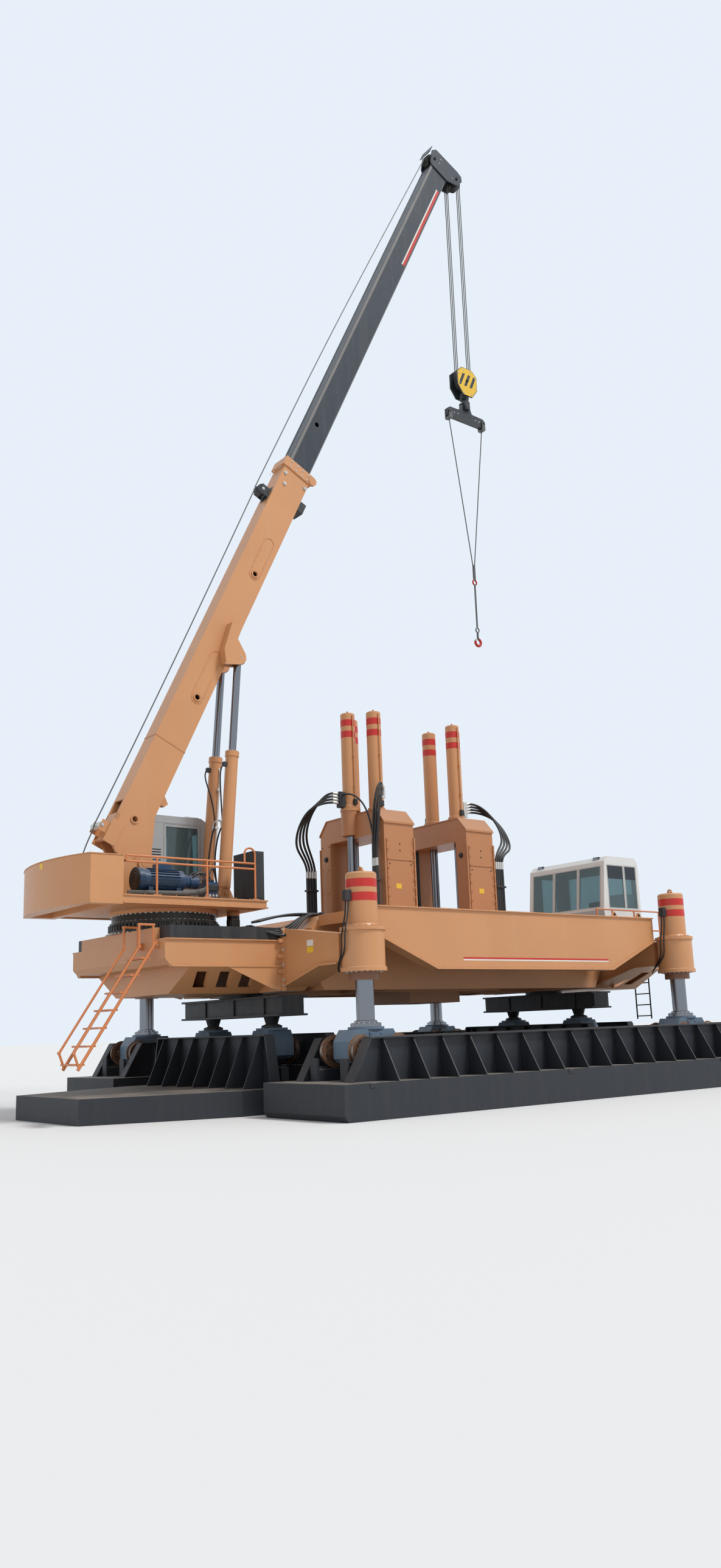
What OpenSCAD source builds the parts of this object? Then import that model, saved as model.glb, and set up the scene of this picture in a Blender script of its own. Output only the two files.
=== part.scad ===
// Walking static pile press: a rig that jacks piles into the ground, with its own slewing crane.
// Frame: X to the operator cab's end, -Y is the side with the ladder, +Z up,
// origin on the ground midway between the four leg jacks.

/* [Hull] */
// Distance of each leg jack from the middle, along the hull
leg_x = 4150; // [3900:10:4600]
// Distance of each leg jack from the middle, across the hull
leg_y = 3800; // [3700:10:4200]
// Height of the hull deck over the ground
deck_z = 3390; // [3300:10:3600]
// Height of the hull's underside over the ground
hull_z = 2050; // [1980:10:2200]
// Half length of the central hull box
hull_hx = 3650; // [3400:10:3700]
// Half width of the central hull box
hull_hy = 2000; // [1900:10:2100]
// Wall thickness of the heavy plate work
plate = 40; // [25:5:60]
// Half length of each side fascia at its top
fascia_hx = 3740; // [3600:10:3760]
// Half length of each side fascia at its lower edge
fascia_low_hx = 2340; // [2000:10:2700]
// Outer face of each side fascia, from the middle
fascia_y = 3600; // [3400:10:3620]
// Depth of each side fascia box, across the hull
fascia_t = 260; // [200:10:400]
// Height of the fascia's lower edge over the ground
fascia_z = 2365; // [2250:5:2500]
// Flange that stands out round the fascia and the arms
flange = 35; // [20:5:60]

/* [Pile well and press] */
// Middle of the pile well, along the hull
press_x = 150; // [50:10:250]
// Half length of the well that the clamping box runs in
well_hx = 1850; // [1800:10:1950]
// Half width of the well that the clamping box runs in
well_hy = 720; // [700:5:740]
// Inner face of each portal frame, from the middle of the well
portal_in = 750; // [700:5:800]
// Length of each portal frame along the hull
portal_l = 780; // [700:10:850]
// Depth of a portal column, across the hull
portal_col = 340; // [300:10:400]
// Top of the portal beams over the ground
portal_top = 5740; // [5600:10:5900]
// Height of a portal beam
portal_beam = 490; // [400:10:520]
// Height of the slanted shoulder of a portal
shoulder_h = 275; // [200:5:300]
// Run of the slanted shoulder of a portal
shoulder_w = 240; // [150:5:280]
// Radius of a press cylinder
press_r = 155; // [130:5:170]
// Radius of a press rod
press_rod_r = 85; // [60:5:95]
// Top of the press cylinders over the ground
press_top = 7970; // [7900:10:8040]
// Stroke of the clamping box
press_stroke = 1800; // [1500:50:1800]
// Top of the lowered clamping box over the ground
clamp_top = 3330; // [3200:10:3360]
// Height of the clamping box
clamp_h = 1500; // [1300:10:1600]
// Side of the square passage for a pile
pile_side = 620; // [400:10:660]

/* [Leg jacks] */
// Radius of the leg tube
leg_r = 262; // [240:2:280]
// Radius of the thick lower sleeve
sleeve_r = 360; // [330:5:380]
// Radius of the chromed leg rod
leg_rod_r = 152; // [130:2:170]
// Top of the leg cap over the ground
leg_top = 3910; // [3850:10:4000]
// Lower end of the sleeve over the ground
sleeve_z = 2290; // [2250:5:2350]
// Height of the thick sleeve
sleeve_h = 640; // [550:10:700]
// Lower end of the visible chrome over the ground
rod_z = 1476; // [1460:2:1500]

/* [Long pontoons] */
// Half width of the pontoon base
base_hw = 1093; // [1000:1:1100]
// Height of the pontoon base
base_h = 547; // [500:1:600]
// Outer face of each rail wall, from the pontoon's middle
wall_y = 646; // [620:1:680]
// Top of the rail walls over the ground
wall_top = 1222; // [1200:1:1260]
// Thickness of a rail wall
wall_t = 36; // [25:1:50]
// Travel of the hull along the long pontoons
long_stroke = 3600; // [2400:50:3600]
// Length of rail wall beyond the outermost wheel position
rail_spare = 480; // [450:10:600]
// Length of base beyond the rail walls
toe_l = 820; // [700:10:900]
// Distance from one gusset to the next
gusset_p = 621; // [560:1:700]

/* [Short pontoons] */
// Half length of the short rail walls
short_hl = 1900; // [1850:10:1950]
// Height of the short pontoon base
short_base_h = 410; // [380:5:460]
// Top of the short rail walls over the ground
short_top = 1305; // [1290:5:1320]
// Outermost edge of the short pontoon base, from the leg line
short_out = 3850; // [3500:10:3900]
// Half width of the outermost edge of the base
short_nose = 1280; // [1000:10:1300]
// Half width of the base at the rail walls
short_hw = 2150; // [2100:10:2180]
// Innermost edge of the short pontoon base, from the leg line
short_in = 2050; // [1800:10:2200]
// Distance of each bolster foot from the middle, across the hull
foot_y = 1030; // [950:10:1100]

/* [Wheels] */
// Tread radius of a rail wheel
wheel_r = 230; // [210:5:240]
// Width of a rail wheel
wheel_w = 110; // [90:5:130]
// Distance of each wheel from the carriage's middle
wheel_y = 400; // [380:5:420]
// Half distance between the axles of a carriage
axle_dx = 390; // [380:5:400]

/* [Crane turret] */
// Middle of the slewing ring, along the hull
crane_x = -5790; // [-5900:10:-5700]
// Outer radius of the slewing ring's teeth
ring_r = 1010; // [950:10:1080]
// Teeth on the slewing ring
ring_teeth = 72; // [60:1:90]
// Underside of the turret over the ground
turret_z = 3540; // [3520:5:3600]
// Half width of the turret
turret_hy = 1400; // [1300:10:1450]
// Height of the turret deck's beam
turret_h = 150; // [120:5:180]
// Front edge of the turret, from the slewing axis
turret_front = 1330; // [1200:10:1400]
// Back edge of the deck, from the slewing axis
turret_back = 1520; // [1400:10:1600]
// Corner of the counterweight, from the slewing axis
weight_x = 2120; // [2000:10:2200]
// Furthest reach of the round counterweight, from the slewing axis
weight_reach = 2400; // [2350:10:2600]
// Top of the counterweight over the ground
weight_top = 4340; // [4250:10:4400]

/* [Boom] */
// Foot pin, along the hull
foot_px = -6359; // [-6450:1:-6300]
// Foot pin over the ground
foot_pz = 4406; // [4390:1:4450]
// Angle of the boom over the ground
boom_deg = 64.2; // [60:0.1:68]
// Centre line of the boom over its foot pin
boom_off = 490; // [470:5:510]
// Height of the boom's base section
boom_h = 680; // [640:10:700]
// Width of the boom's base section
boom_w = 440; // [420:10:460]
// Length of the base section from the foot pin
boom_l = 9630; // [9000:10:9800]
// Height of the boom's inner section
inner_h = 560; // [520:10:580]
// Width of the boom's inner section
inner_w = 340; // [320:10:350]
// Distance of the inner section's tip from the foot pin
tip_l = 20460; // [19500:10:20600]
// Length of the inner section that stays inside the base section
inner_in = 2070; // [1500:10:2600]
// Plate of the boom
boom_t = 24; // [16:1:26]
// Distance of the luffing lug from the foot pin
lug_u = 4670; // [4500:10:4800]
// Foot of the luffing cylinders, along the hull
luff_px = -4700; // [-4760:5:-4650]
// Foot of the luffing cylinders over the ground
luff_pz = 3930; // [3900:5:3960]
// Distance of each luffing cylinder from the boom's middle
luff_y = 310; // [305:5:330]
// Radius of a luffing cylinder
luff_r = 122; // [110:2:130]
// Radius of a luffing rod
luff_rod_r = 75; // [60:1:85]
// Length of a luffing cylinder's tube from its foot pin
luff_l = 2780; // [2600:10:2900]

/* [Hoist] */
// Radius of a head sheave
sheave_r = 230; // [200:5:250]
// Top of the hook block over the ground
block_top = 17560; // [17500:10:17700]
// Radius of a hoist rope
rope_r = 12; // [10:1:14]
// Lowest point of the hook over the ground
hook_low = 10220; // [10100:10:10400]

/* [Cabs] */
// Thickness of the cab walls
cab_wall = 45; // [35:5:60]
// Length of the crane cab
crane_cab_l = 1450; // [1350:10:1500]
// Top of the crane cab over the ground
crane_cab_top = 5500; // [5400:10:5600]
// Length of the operator cab along the hull
cab_l = 1350; // [1250:10:1450]
// Half width of the operator cab
cab_hy = 1200; // [1150:10:1250]
// Height of the operator cab
cab_h = 2020; // [1950:10:2100]

/* [Hidden] */
$fn = 48;
fit = 0.5;        // running gap at a pin or rod
seat = 0.3;       // gap under a face that turns or slides on its seat
rub = 6;          // gap between sliding faces
tan_paint = "#c98a58";
steel_paint = "#2b3038";
chrome = "#b9bec4";

// a box between two corners
module block(a, b) { translate(a) cube(b - a); }
// an outline in X and Z, as a plate from y0 to y1
module side_plate(pts, y0, y1) { translate([0, y1, 0]) rotate([90, 0, 0]) linear_extrude(y1 - y0) polygon(pts); }
// an outline in Y and Z, as a plate from x0 to x1
module cross_plate(pts, x0, x1) { translate([x0, 0, 0]) rotate([90, 0, 90]) linear_extrude(x1 - x0) polygon(pts); }
// an outline in X and Y, as a plate from z0 to z1
module flat_plate(pts, z0, z1) { translate([0, 0, z0]) linear_extrude(z1 - z0) polygon(pts); }
// a round bar along Y through a point
module bar_y(p, r, y0, y1) { translate([p[0], y1, p[1]]) rotate([90, 0, 0]) cylinder(r = r, h = y1 - y0); }
// a straight bar between two points
module rod_between(a, b, r) {
  d = b - a;
  translate(a) rotate([0, acos(d[2] / norm(d)), atan2(d[1], d[0])]) cylinder(r = r, h = norm(d));
}
// a tube through points of one XZ plane, with a fitting at each bend
module tube_path(pts, r) {
  for (i = [1:len(pts) - 1]) rod_between(pts[i - 1], pts[i], r);
  for (i = [1:1:len(pts) - 2]) bar_y([pts[i][0], pts[i][2]], r + 4, pts[i][1] - r - 3, pts[i][1] + r + 3);
}
module ring(r1, r0, h) { difference() { cylinder(r = r1, h = h); translate([0, 0, -1]) cylinder(r = r0, h = h + 2); } }
module both_x() { children(); mirror([1, 0, 0]) children(); }
module both_y() { children(); mirror([0, 1, 0]) children(); }

// Hull
arm_in = hull_hx - 300;
arm_x0 = leg_x - 250;
arm_x1 = leg_x + 250;
arm_top_in = 3160;
arm_top_out = sleeve_z + sleeve_h - 10;
arm_low_out = 2450;
module_x0 = arm_x1;
module_x1 = 6750;
module_hy = 1800;
module_top = 2920;
module_flange = 2500;
keel_hy = 1000;
plinth_hy = 1430;
plinth_top = turret_z - 400;

// the central box, open underneath and pierced by the well
module hull_box() color(tan_paint) {
  low_run = 420;
  profile = [[-hull_hx, hull_z], [hull_hx, hull_z], [arm_x0, hull_z + low_run], [arm_x0, arm_top_in],
    [hull_hx, deck_z], [-hull_hx, deck_z], [-arm_x0, arm_top_in], [-arm_x0, hull_z + low_run]];
  difference() {
    side_plate(profile, -hull_hy, hull_hy);
    // bays between the cross bulkheads, open at the bottom
    for (bay = [[-hull_hx + plate, press_x - well_hx - plate * 2], [press_x + well_hx + plate * 2, hull_hx - plate]])
      for (s = [-1, 1])
        block([bay[0], min(s * plate / 2, s * (hull_hy - plate)), hull_z - 1],
              [bay[1], max(s * plate / 2, s * (hull_hy - plate)), deck_z - plate]);
    for (s = [-1, 1])
      block([press_x - well_hx, min(s * (well_hy + plate), s * (hull_hy - plate)), hull_z - 1],
            [press_x + well_hx, max(s * (well_hy + plate), s * (hull_hy - plate)), deck_z - plate]);
    block([press_x - well_hx, -well_hy, hull_z - 1], [press_x + well_hx, well_hy, deck_z + 1]);
  }
}

// deck plates from the hull box out to the fascias, on ribs
module deck_wings() color(tan_paint) both_y() difference() {
  block([-fascia_hx, hull_hy, deck_z - 200], [fascia_hx, fascia_y - fascia_t, deck_z]);
  for (i = [0:5]) {
    bay = (2 * fascia_hx - plate) / 6;
    block([-fascia_hx + plate + i * bay, hull_hy - 1, deck_z - 201],
          [-fascia_hx + (i + 1) * bay, fascia_y - fascia_t - plate, deck_z - plate]);
  }
}

// the two trapezoid side boxes between the legs, with their flanges
module fascia_beams() color(tan_paint) both_y() {
  shoulder = 2960;
  body = [[-fascia_low_hx, fascia_z], [fascia_low_hx, fascia_z], [fascia_hx, shoulder], [fascia_hx, deck_z],
    [-fascia_hx, deck_z], [-fascia_hx, shoulder]];
  edge = [[-fascia_low_hx - 20, fascia_z - flange], [fascia_low_hx + 20, fascia_z - flange],
    [fascia_hx, shoulder - flange * 1.2], [fascia_hx, shoulder], [fascia_low_hx, fascia_z],
    [-fascia_low_hx, fascia_z], [-fascia_hx, shoulder], [-fascia_hx, shoulder - flange * 1.2]];
  side_plate(body, -fascia_y, -fascia_y + fascia_t);
  side_plate(edge, -fascia_y - flange, -fascia_y + fascia_t);
  block([-fascia_hx, -fascia_y - flange, deck_z], [fascia_hx, -fascia_y + fascia_t, deck_z + 20]);
}

// the two end girders: arms out to the leg jacks, with curved lower flanges, and a pivot under each
module leg_arms() color(tan_paint) both_x() {
  reach = leg_y - sleeve_r + 20;
  knee = [module_hy + 95, hull_z + 100];
  bend = [2970, arm_low_out];
  half = [[reach, arm_low_out], bend, knee, [knee[0] - 160, hull_z]];
  top = [[hull_hy - 300, arm_top_in], [reach, arm_top_out]];
  low = [[-reach, arm_low_out - flange], [-bend[0] + 10, bend[1] - flange], [-knee[0], knee[1] - flange],
    [-knee[0], knee[1]], [-bend[0], bend[1]], [-reach, arm_low_out]];
  difference() {
    union() {
      cross_plate(concat(half, [for (i = [3:-1:0]) [-half[i][0], half[i][1]]], [for (i = [1:-1:0]) [-top[i][0], top[i][1]]], top),
        arm_x0, arm_x1);
      both_y() cross_plate(low, arm_x0 - 60, arm_x1 + 60);
    }
    for (y = [-leg_y, leg_y]) translate([leg_x, y, 0]) cylinder(r = sleeve_r, h = deck_z);
  }
  translate([leg_x, 0, pivot_z]) cylinder(r = pivot_r, h = hull_z - pivot_z + 5);
}

// an end module: a box girder with a tapered keel and three slanted cut-outs
module end_module() {
  slope = (module_hy - keel_hy) / (module_flange - hull_z);
  keel_x1 = module_x1 - 500;
  difference() {
    union() {
      block([module_x0, -module_hy, module_flange], [module_x1, module_hy, module_top]);
      both_y() block([module_x0, module_hy - 80, module_flange - flange], [module_x1, module_hy + flange, module_flange]);
      both_y() block([module_x0, module_hy, module_top], [module_x1, module_hy + flange, module_top + 20]);
      block([module_x0, -module_hy, module_top], [module_x1, module_hy, module_top + 20]);
      cross_plate([[-module_hy, module_flange], [-keel_hy, hull_z], [keel_hy, hull_z], [module_hy, module_flange]],
        module_x0, keel_x1);
    }
    // inside of the keel, and its end cut back at a slant
    cross_plate([[-module_hy + 2.2 * plate, module_flange + plate], [-keel_hy + plate / 2, hull_z + plate],
      [keel_hy - plate / 2, hull_z + plate], [module_hy - 2.2 * plate, module_flange + plate]],
      module_x0 + plate, keel_x1 - 260);
    translate([keel_x1, 0, hull_z]) rotate([0, 42, 0]) block([0, -module_hy - 60, -900], [900, module_hy + 60, 1300]);
    // three parallelogram openings in each slanted side
    for (i = [0:2]) let (x = module_x0 + 300 + i * 460)
      side_plate([[x + 160, 2400], [x + 420, 2400], [x + 260, 2150], [x, 2150]], -module_hy - 90, module_hy + 90);
  }
  // joint plate with three lugs on each side
  both_y() {
    block([module_x0, module_hy, hull_z], [module_x0 + plate, module_hy + 90, arm_top_in]);
    for (z = [2350, 2620, 2890]) block([module_x0 + plate, module_hy + flange, z], [module_x0 + 130, module_hy + 90, z + 70]);
    side_plate([[module_x0 + plate, hull_z], [module_x0 + 250, hull_z + 40], [module_x0 + 1150, module_flange - flange],
      [module_x0 + plate, module_flange - flange]], module_hy, module_hy + 20);
  }
}

module crane_module() color(tan_paint) {
  mirror([1, 0, 0]) end_module();
  // plinth under the slewing ring
  difference() {
    block([-module_x1, -plinth_hy, module_top + 20], [-module_x0 - 40, plinth_hy, plinth_top]);
    translate([crane_x, 0, module_top + 60]) cylinder(r = ring_r - 260, h = 400);
  }
}

module cab_module() color(tan_paint) {
  end_module();
  block([module_x0, -cab_hy - 120, module_top + 20], [module_x1, cab_hy + 120, plinth_top]);
}

// low dark tanks on the deck of the crane module
module deck_tanks() color(steel_paint) {
  tank_x0 = crane_x + ring_r + 60;
  both_y() difference() {
    flat_plate([[-module_x1 + 100, -module_hy + 20], [-module_x0 - 60, -module_hy + 20], [-module_x0 - 60, -plinth_hy - 12],
      [-module_x1 + 100, -plinth_hy - 12]], module_top + 20, module_top + 240);
  }
  block([tank_x0, -1000, plinth_top], [-module_x0 - 40, 1000, plinth_top + 110]);
}

// lower half of the slewing ring, toothed outside
module ring_gear() color("#3a3a38") {
  tooth = 26;
  pitch = 360 / ring_teeth;
  translate([crane_x, 0, plinth_top]) difference() {
    union() {
      cylinder(r = ring_r - tooth, h = 210);
      for (i = [0:ring_teeth - 1]) rotate([0, 0, i * pitch])
        translate([0, 0, 60]) linear_extrude(110)
          polygon([[ring_r - tooth - 6, -24], [ring_r, -11], [ring_r, 11], [ring_r - tooth - 6, 24]]);
    }
    translate([0, 0, -1]) cylinder(r = ring_r - 240, h = 220);
  }
}

// Leg jacks
gland_z = sleeve_z - 155;
module leg_cylinder() {
  wall = 60;
  difference() {
    rotate_extrude() polygon([[leg_rod_r + fit, gland_z], [250, gland_z], [250, sleeve_z - 20], [sleeve_r - 90, sleeve_z - 20],
      [sleeve_r + 25, sleeve_z - 20], [sleeve_r + 25, sleeve_z + 45], [sleeve_r, sleeve_z + 60],
      [sleeve_r, sleeve_z + sleeve_h], [sleeve_r + 25, sleeve_z + sleeve_h + 10], [sleeve_r + 25, sleeve_z + sleeve_h + 70],
      [leg_r + 22, sleeve_z + sleeve_h + 80], [leg_r, sleeve_z + sleeve_h + 120], [leg_r, leg_top - 30], [leg_r - 24, leg_top],
      [0, leg_top], [0, leg_top - wall], [leg_rod_r + 40, leg_top - wall], [leg_rod_r + 40, sleeve_z + 120],
      [leg_rod_r + fit, sleeve_z + 120]]);
  }
  // lifting lug on the cap
  difference() {
    cross_plate([[-70, leg_top], [70, leg_top], [40, leg_top + 85], [0, leg_top + 105], [-40, leg_top + 85]], -18, 18);
    translate([-40, 0, leg_top + 55]) rotate([0, 90, 0]) cylinder(r = 24, h = 80);
  }
}
module leg_cylinders() color(tan_paint)
  for (x = [-leg_x, leg_x], y = [-leg_y, leg_y]) translate([x, y, 0]) leg_cylinder();

// one leg rod with its round foot plate; it runs up inside the jack
module leg_rod() {
  up = 500;      // room left to retract
  rotate_extrude() polygon([[0, rod_z - 95], [255, rod_z - 95], [255, rod_z - 40], [190, rod_z - 30], [190, rod_z],
    [leg_rod_r, rod_z + 10], [leg_rod_r, leg_top - 60 - up - 150], [0, leg_top - 60 - up - 150]]);
}

// Carriages and pontoons, drawn with their length along X and their middle at x = 0
rail_z = base_h + 230;
axle_z = rail_z + wheel_r + 0.3;
carriage_hl = axle_dx + 100;
module carriage(top, hl, axles) {
  hw = wheel_y - wheel_w / 2 - 95;
  difference() {
    union() {
      side_plate([[-hl, axle_z - 120], [-hl + 90, axle_z - 190], [hl - 90, axle_z - 190], [hl, axle_z - 120],
        [hl, axle_z + 150], [hl - 120, top - 40], [-hl + 120, top - 40], [-hl, axle_z + 150]], -hw, hw);
      translate([0, 0, top - 42]) cylinder(r = 300, h = 42);
    }
    for (x = axles) bar_y([x, axle_z], 50 + fit, -hw - 1, hw + 1);
  }
}
// two flanged wheels on one axle
module axle(z, wy) {
  bar_y([0, z], 50, -wy - wheel_w / 2 - 25, wy + wheel_w / 2 + 25);
  both_y() translate([0, -wy, z]) rotate([90, 0, 0]) difference() {
    rotate_extrude() polygon([[50, -wheel_w / 2 - 18], [95, -wheel_w / 2 - 18], [95, -20], [wheel_r - 55, -20], [wheel_r - 40, -wheel_w / 2],
      [wheel_r + 30, -wheel_w / 2], [wheel_r + 30, -wheel_w / 2 + 14], [wheel_r, -wheel_w / 2 + 20], [wheel_r, wheel_w / 2],
      [wheel_r - 40, wheel_w / 2], [wheel_r - 55, 20], [95, 20], [95, wheel_w / 2 + 18], [50, wheel_w / 2 + 18]]);
    for (k = [0:5]) rotate([0, 0, 60 * k + 30]) translate([135, 0, -60]) cylinder(r = 26, h = 120);
  }
}
// a rail on its box beam
module rail(x0, x1, y, z0, z1) {
  cross_plate([[y - 75, z0], [y + 75, z0], [y + 75, z1 - 46], [y + 18, z1 - 36], [y + 29, z1 - 18], [y + 29, z1],
    [y - 29, z1], [y - 29, z1 - 18], [y - 18, z1 - 36], [y - 75, z1 - 46]], x0, x1);
}

long_x0 = -(leg_x + rail_spare);
long_x1 = leg_x + long_stroke + rail_spare;
module long_pontoon() {
  wall_in = wall_y - wall_t;
  gusset_n = floor((long_x1 - long_x0 - 400) / gusset_p);
  // base box with slightly raked ends
  side_plate([[long_x0 - toe_l + 60, 0], [long_x1 + toe_l - 60, 0], [long_x1 + toe_l, 90], [long_x1 + toe_l, base_h],
    [long_x0 - toe_l, base_h], [long_x0 - toe_l, 90]], -base_hw, base_hw);
  both_y() {
    // rail wall with slanted ends, its top flange and its end flange plates
    side_plate([[long_x0 - 380, base_h], [long_x1 + 380, base_h], [long_x1, wall_top - 24], [long_x0, wall_top - 24]],
      -wall_y, -wall_in);
    block([long_x0 - 20, -wall_y - 110, wall_top - 24], [long_x1 + 20, -wall_in + 60, wall_top]);
    for (s = [[long_x0, -1], [long_x1, 1]])
      side_plate([[s[0] + s[1] * 380, base_h], [s[0] + s[1] * 415, base_h], [s[0] + s[1] * 35, wall_top - 24],
        [s[0], wall_top - 24]], -wall_y - 110, -wall_in + 60);
    for (i = [0:gusset_n]) let (x = long_x0 + 250 + i * gusset_p)
      cross_plate([[-base_hw + 10, base_h], [-wall_y, base_h], [-wall_y, wall_top - 24], [-wall_y - 60, wall_top - 24]], x, x + 22);
    rail(long_x0 - 300, long_x1 + 300, -wheel_y, base_h, rail_z);
    for (x = [long_x0 - 300, long_x1 + 260])
      block([x, -wheel_y - wheel_w / 2 - 40, base_h], [x + 40, -wheel_y + wheel_w / 2 + 40, rail_z + 130]);
  }
}

module near_legs() color(chrome) for (x = [-leg_x, leg_x]) translate([x, -leg_y, 0]) leg_rod();
module far_legs() color(chrome) for (x = [-leg_x, leg_x]) translate([x, leg_y, 0]) leg_rod();
module near_carriages() color("#5e7488") for (x = [-leg_x, leg_x])
  translate([x, -leg_y, 0]) carriage(rod_z - 95, carriage_hl, [-axle_dx, axle_dx]);
module far_carriages() color("#5e7488") for (x = [-leg_x, leg_x])
  translate([x, leg_y, 0]) carriage(rod_z - 95, carriage_hl, [-axle_dx, axle_dx]);
module near_pontoon() color(steel_paint) translate([0, -leg_y, 0]) long_pontoon();
module far_pontoon() color(steel_paint) translate([0, leg_y, 0]) long_pontoon();
module long_axle(leg, side, end) color("#6b4a38") translate([leg * leg_x + end * axle_dx, side * leg_y, 0]) axle(axle_z, wheel_y);
module near_axle_a() long_axle(-1, -1, -1);
module near_axle_b() long_axle(-1, -1, 1);
module near_axle_c() long_axle(1, -1, -1);
module near_axle_d() long_axle(1, -1, 1);
module far_axle_a() long_axle(-1, 1, -1);
module far_axle_b() long_axle(-1, 1, 1);
module far_axle_c() long_axle(1, 1, -1);
module far_axle_d() long_axle(1, 1, 1);

pivot_r = 120;
pivot_z = 1700;
// Bolsters and short pontoons, drawn about the leg line x = 0 with their length along Y
short_rail_z = short_base_h + 385;
short_axle_z = short_rail_z + wheel_r + 0.3;
bolster_z0 = 1640;
bolster_top = hull_z - 8;
short_car_top = 1420;
short_car_hl = 330;
module bolster() {
  hl = 1720;
  difference() {
    union() {
      block([-260, -hl, bolster_z0], [260, hl, bolster_top - 60]);
      block([-320, -hl, bolster_top - 96], [320, hl, bolster_top - 60]);
      block([-320, -hl, bolster_z0 - 20], [320, hl, bolster_z0 + 16]);
      translate([0, 0, bolster_top - 62]) cylinder(r = 420, h = 62);
    }
    // hollows between the flanges, with a stiffener at each foot
    for (s = [-1, 1]) for (b = [[140, foot_y - 140], [foot_y + 140, hl + 1]])
      block([s > 0 ? 235 : -321, b[0], bolster_z0 + 17], [s > 0 ? 321 : -235, b[1], bolster_top - 97]);
    for (s = [-1, 1]) for (b = [[140, foot_y - 140], [foot_y + 140, hl + 1]])
      block([s > 0 ? 235 : -321, -b[1], bolster_z0 + 17], [s > 0 ? 321 : -235, -b[0], bolster_top - 97]);
    translate([0, 0, pivot_z - 10]) cylinder(r = pivot_r + fit, h = 500);
  }
  for (y = [-foot_y, foot_y]) translate([0, y, 0]) rotate_extrude()
    polygon([[0, short_car_top], [190, short_car_top], [190, short_car_top + 40], [110, short_car_top + 70],
      [150, bolster_z0 - 20], [0, bolster_z0 - 20]]);
}
// a short carriage under each bolster foot, its wheels running along Y
module short_carriage() {
  hw = wheel_y - wheel_w / 2 - 95;
  rotate([0, 0, 90]) difference() {
    union() {
      side_plate([[-short_car_hl, short_axle_z - 90], [-short_car_hl + 90, short_axle_z - 150], [short_car_hl - 90, short_axle_z - 150],
        [short_car_hl, short_axle_z - 90], [short_car_hl, short_axle_z + 190], [short_car_hl - 90, short_car_top - 40],
        [-short_car_hl + 90, short_car_top - 40], [-short_car_hl, short_axle_z + 190]], -hw, hw);
      translate([0, 0, short_car_top - 42]) cylinder(r = 290, h = 42);
    }
    bar_y([0, short_axle_z], 50 + fit, -hw - 1, hw + 1);
  }
}
module short_pontoon() {
  wall_in = wall_y - wall_t;
  // base with a broad outer nose
  flat_plate([[-short_out, -short_nose], [-2250, -1880], [-1350, -short_hw], [1350, -short_hw], [short_in, -1500],
    [short_in, 1500], [1350, short_hw], [-1350, short_hw], [-2250, 1880], [-short_out, short_nose]], 0, short_base_h);
  both_x() {
    cross_plate([[-short_hl - 190, short_base_h], [short_hl + 190, short_base_h], [short_hl, short_top - 24],
      [-short_hl, short_top - 24]], -wall_y, -wall_in);
    block([-wall_y - 100, -short_hl - 15, short_top - 24], [-wall_in + 50, short_hl + 15, short_top]);
    both_y() cross_plate([[-short_hl - 225, short_base_h], [-short_hl - 190, short_base_h], [-short_hl, short_top - 24],
      [-short_hl - 35, short_top - 24]], -wall_y - 100, -wall_in + 50);
    for (i = [0:6]) let (y = -short_hl + 160 + i * (2 * short_hl - 342) / 6)
      side_plate([[-wall_y - 430, short_base_h], [-wall_y, short_base_h], [-wall_y, short_top - 24], [-wall_y - 60, short_top - 24]],
        y, y + 22);
    rotate([0, 0, 90]) rail(-short_hl - 120, short_hl + 120, -wheel_y, short_base_h, short_rail_z);
  }
}
module left_bolster() color("#1c1f22") translate([-leg_x, 0, 0]) bolster();
module right_bolster() color("#1c1f22") translate([leg_x, 0, 0]) bolster();
module left_carriages() color("#5e7488") for (y = [-foot_y, foot_y]) translate([-leg_x, y, 0]) short_carriage();
module right_carriages() color("#5e7488") for (y = [-foot_y, foot_y]) translate([leg_x, y, 0]) short_carriage();
module left_short_pontoon() color(steel_paint) translate([-leg_x, 0, 0]) short_pontoon();
module right_short_pontoon() color(steel_paint) translate([leg_x, 0, 0]) mirror([1, 0, 0]) short_pontoon();
module short_axle(end, side) color("#6b4a38") translate([end * leg_x, side * foot_y, 0]) rotate([0, 0, 90]) axle(short_axle_z, wheel_y);
module left_axle_a() short_axle(-1, -1);
module left_axle_b() short_axle(-1, 1);
module right_axle_a() short_axle(1, -1);
module right_axle_b() short_axle(1, 1);

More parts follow.
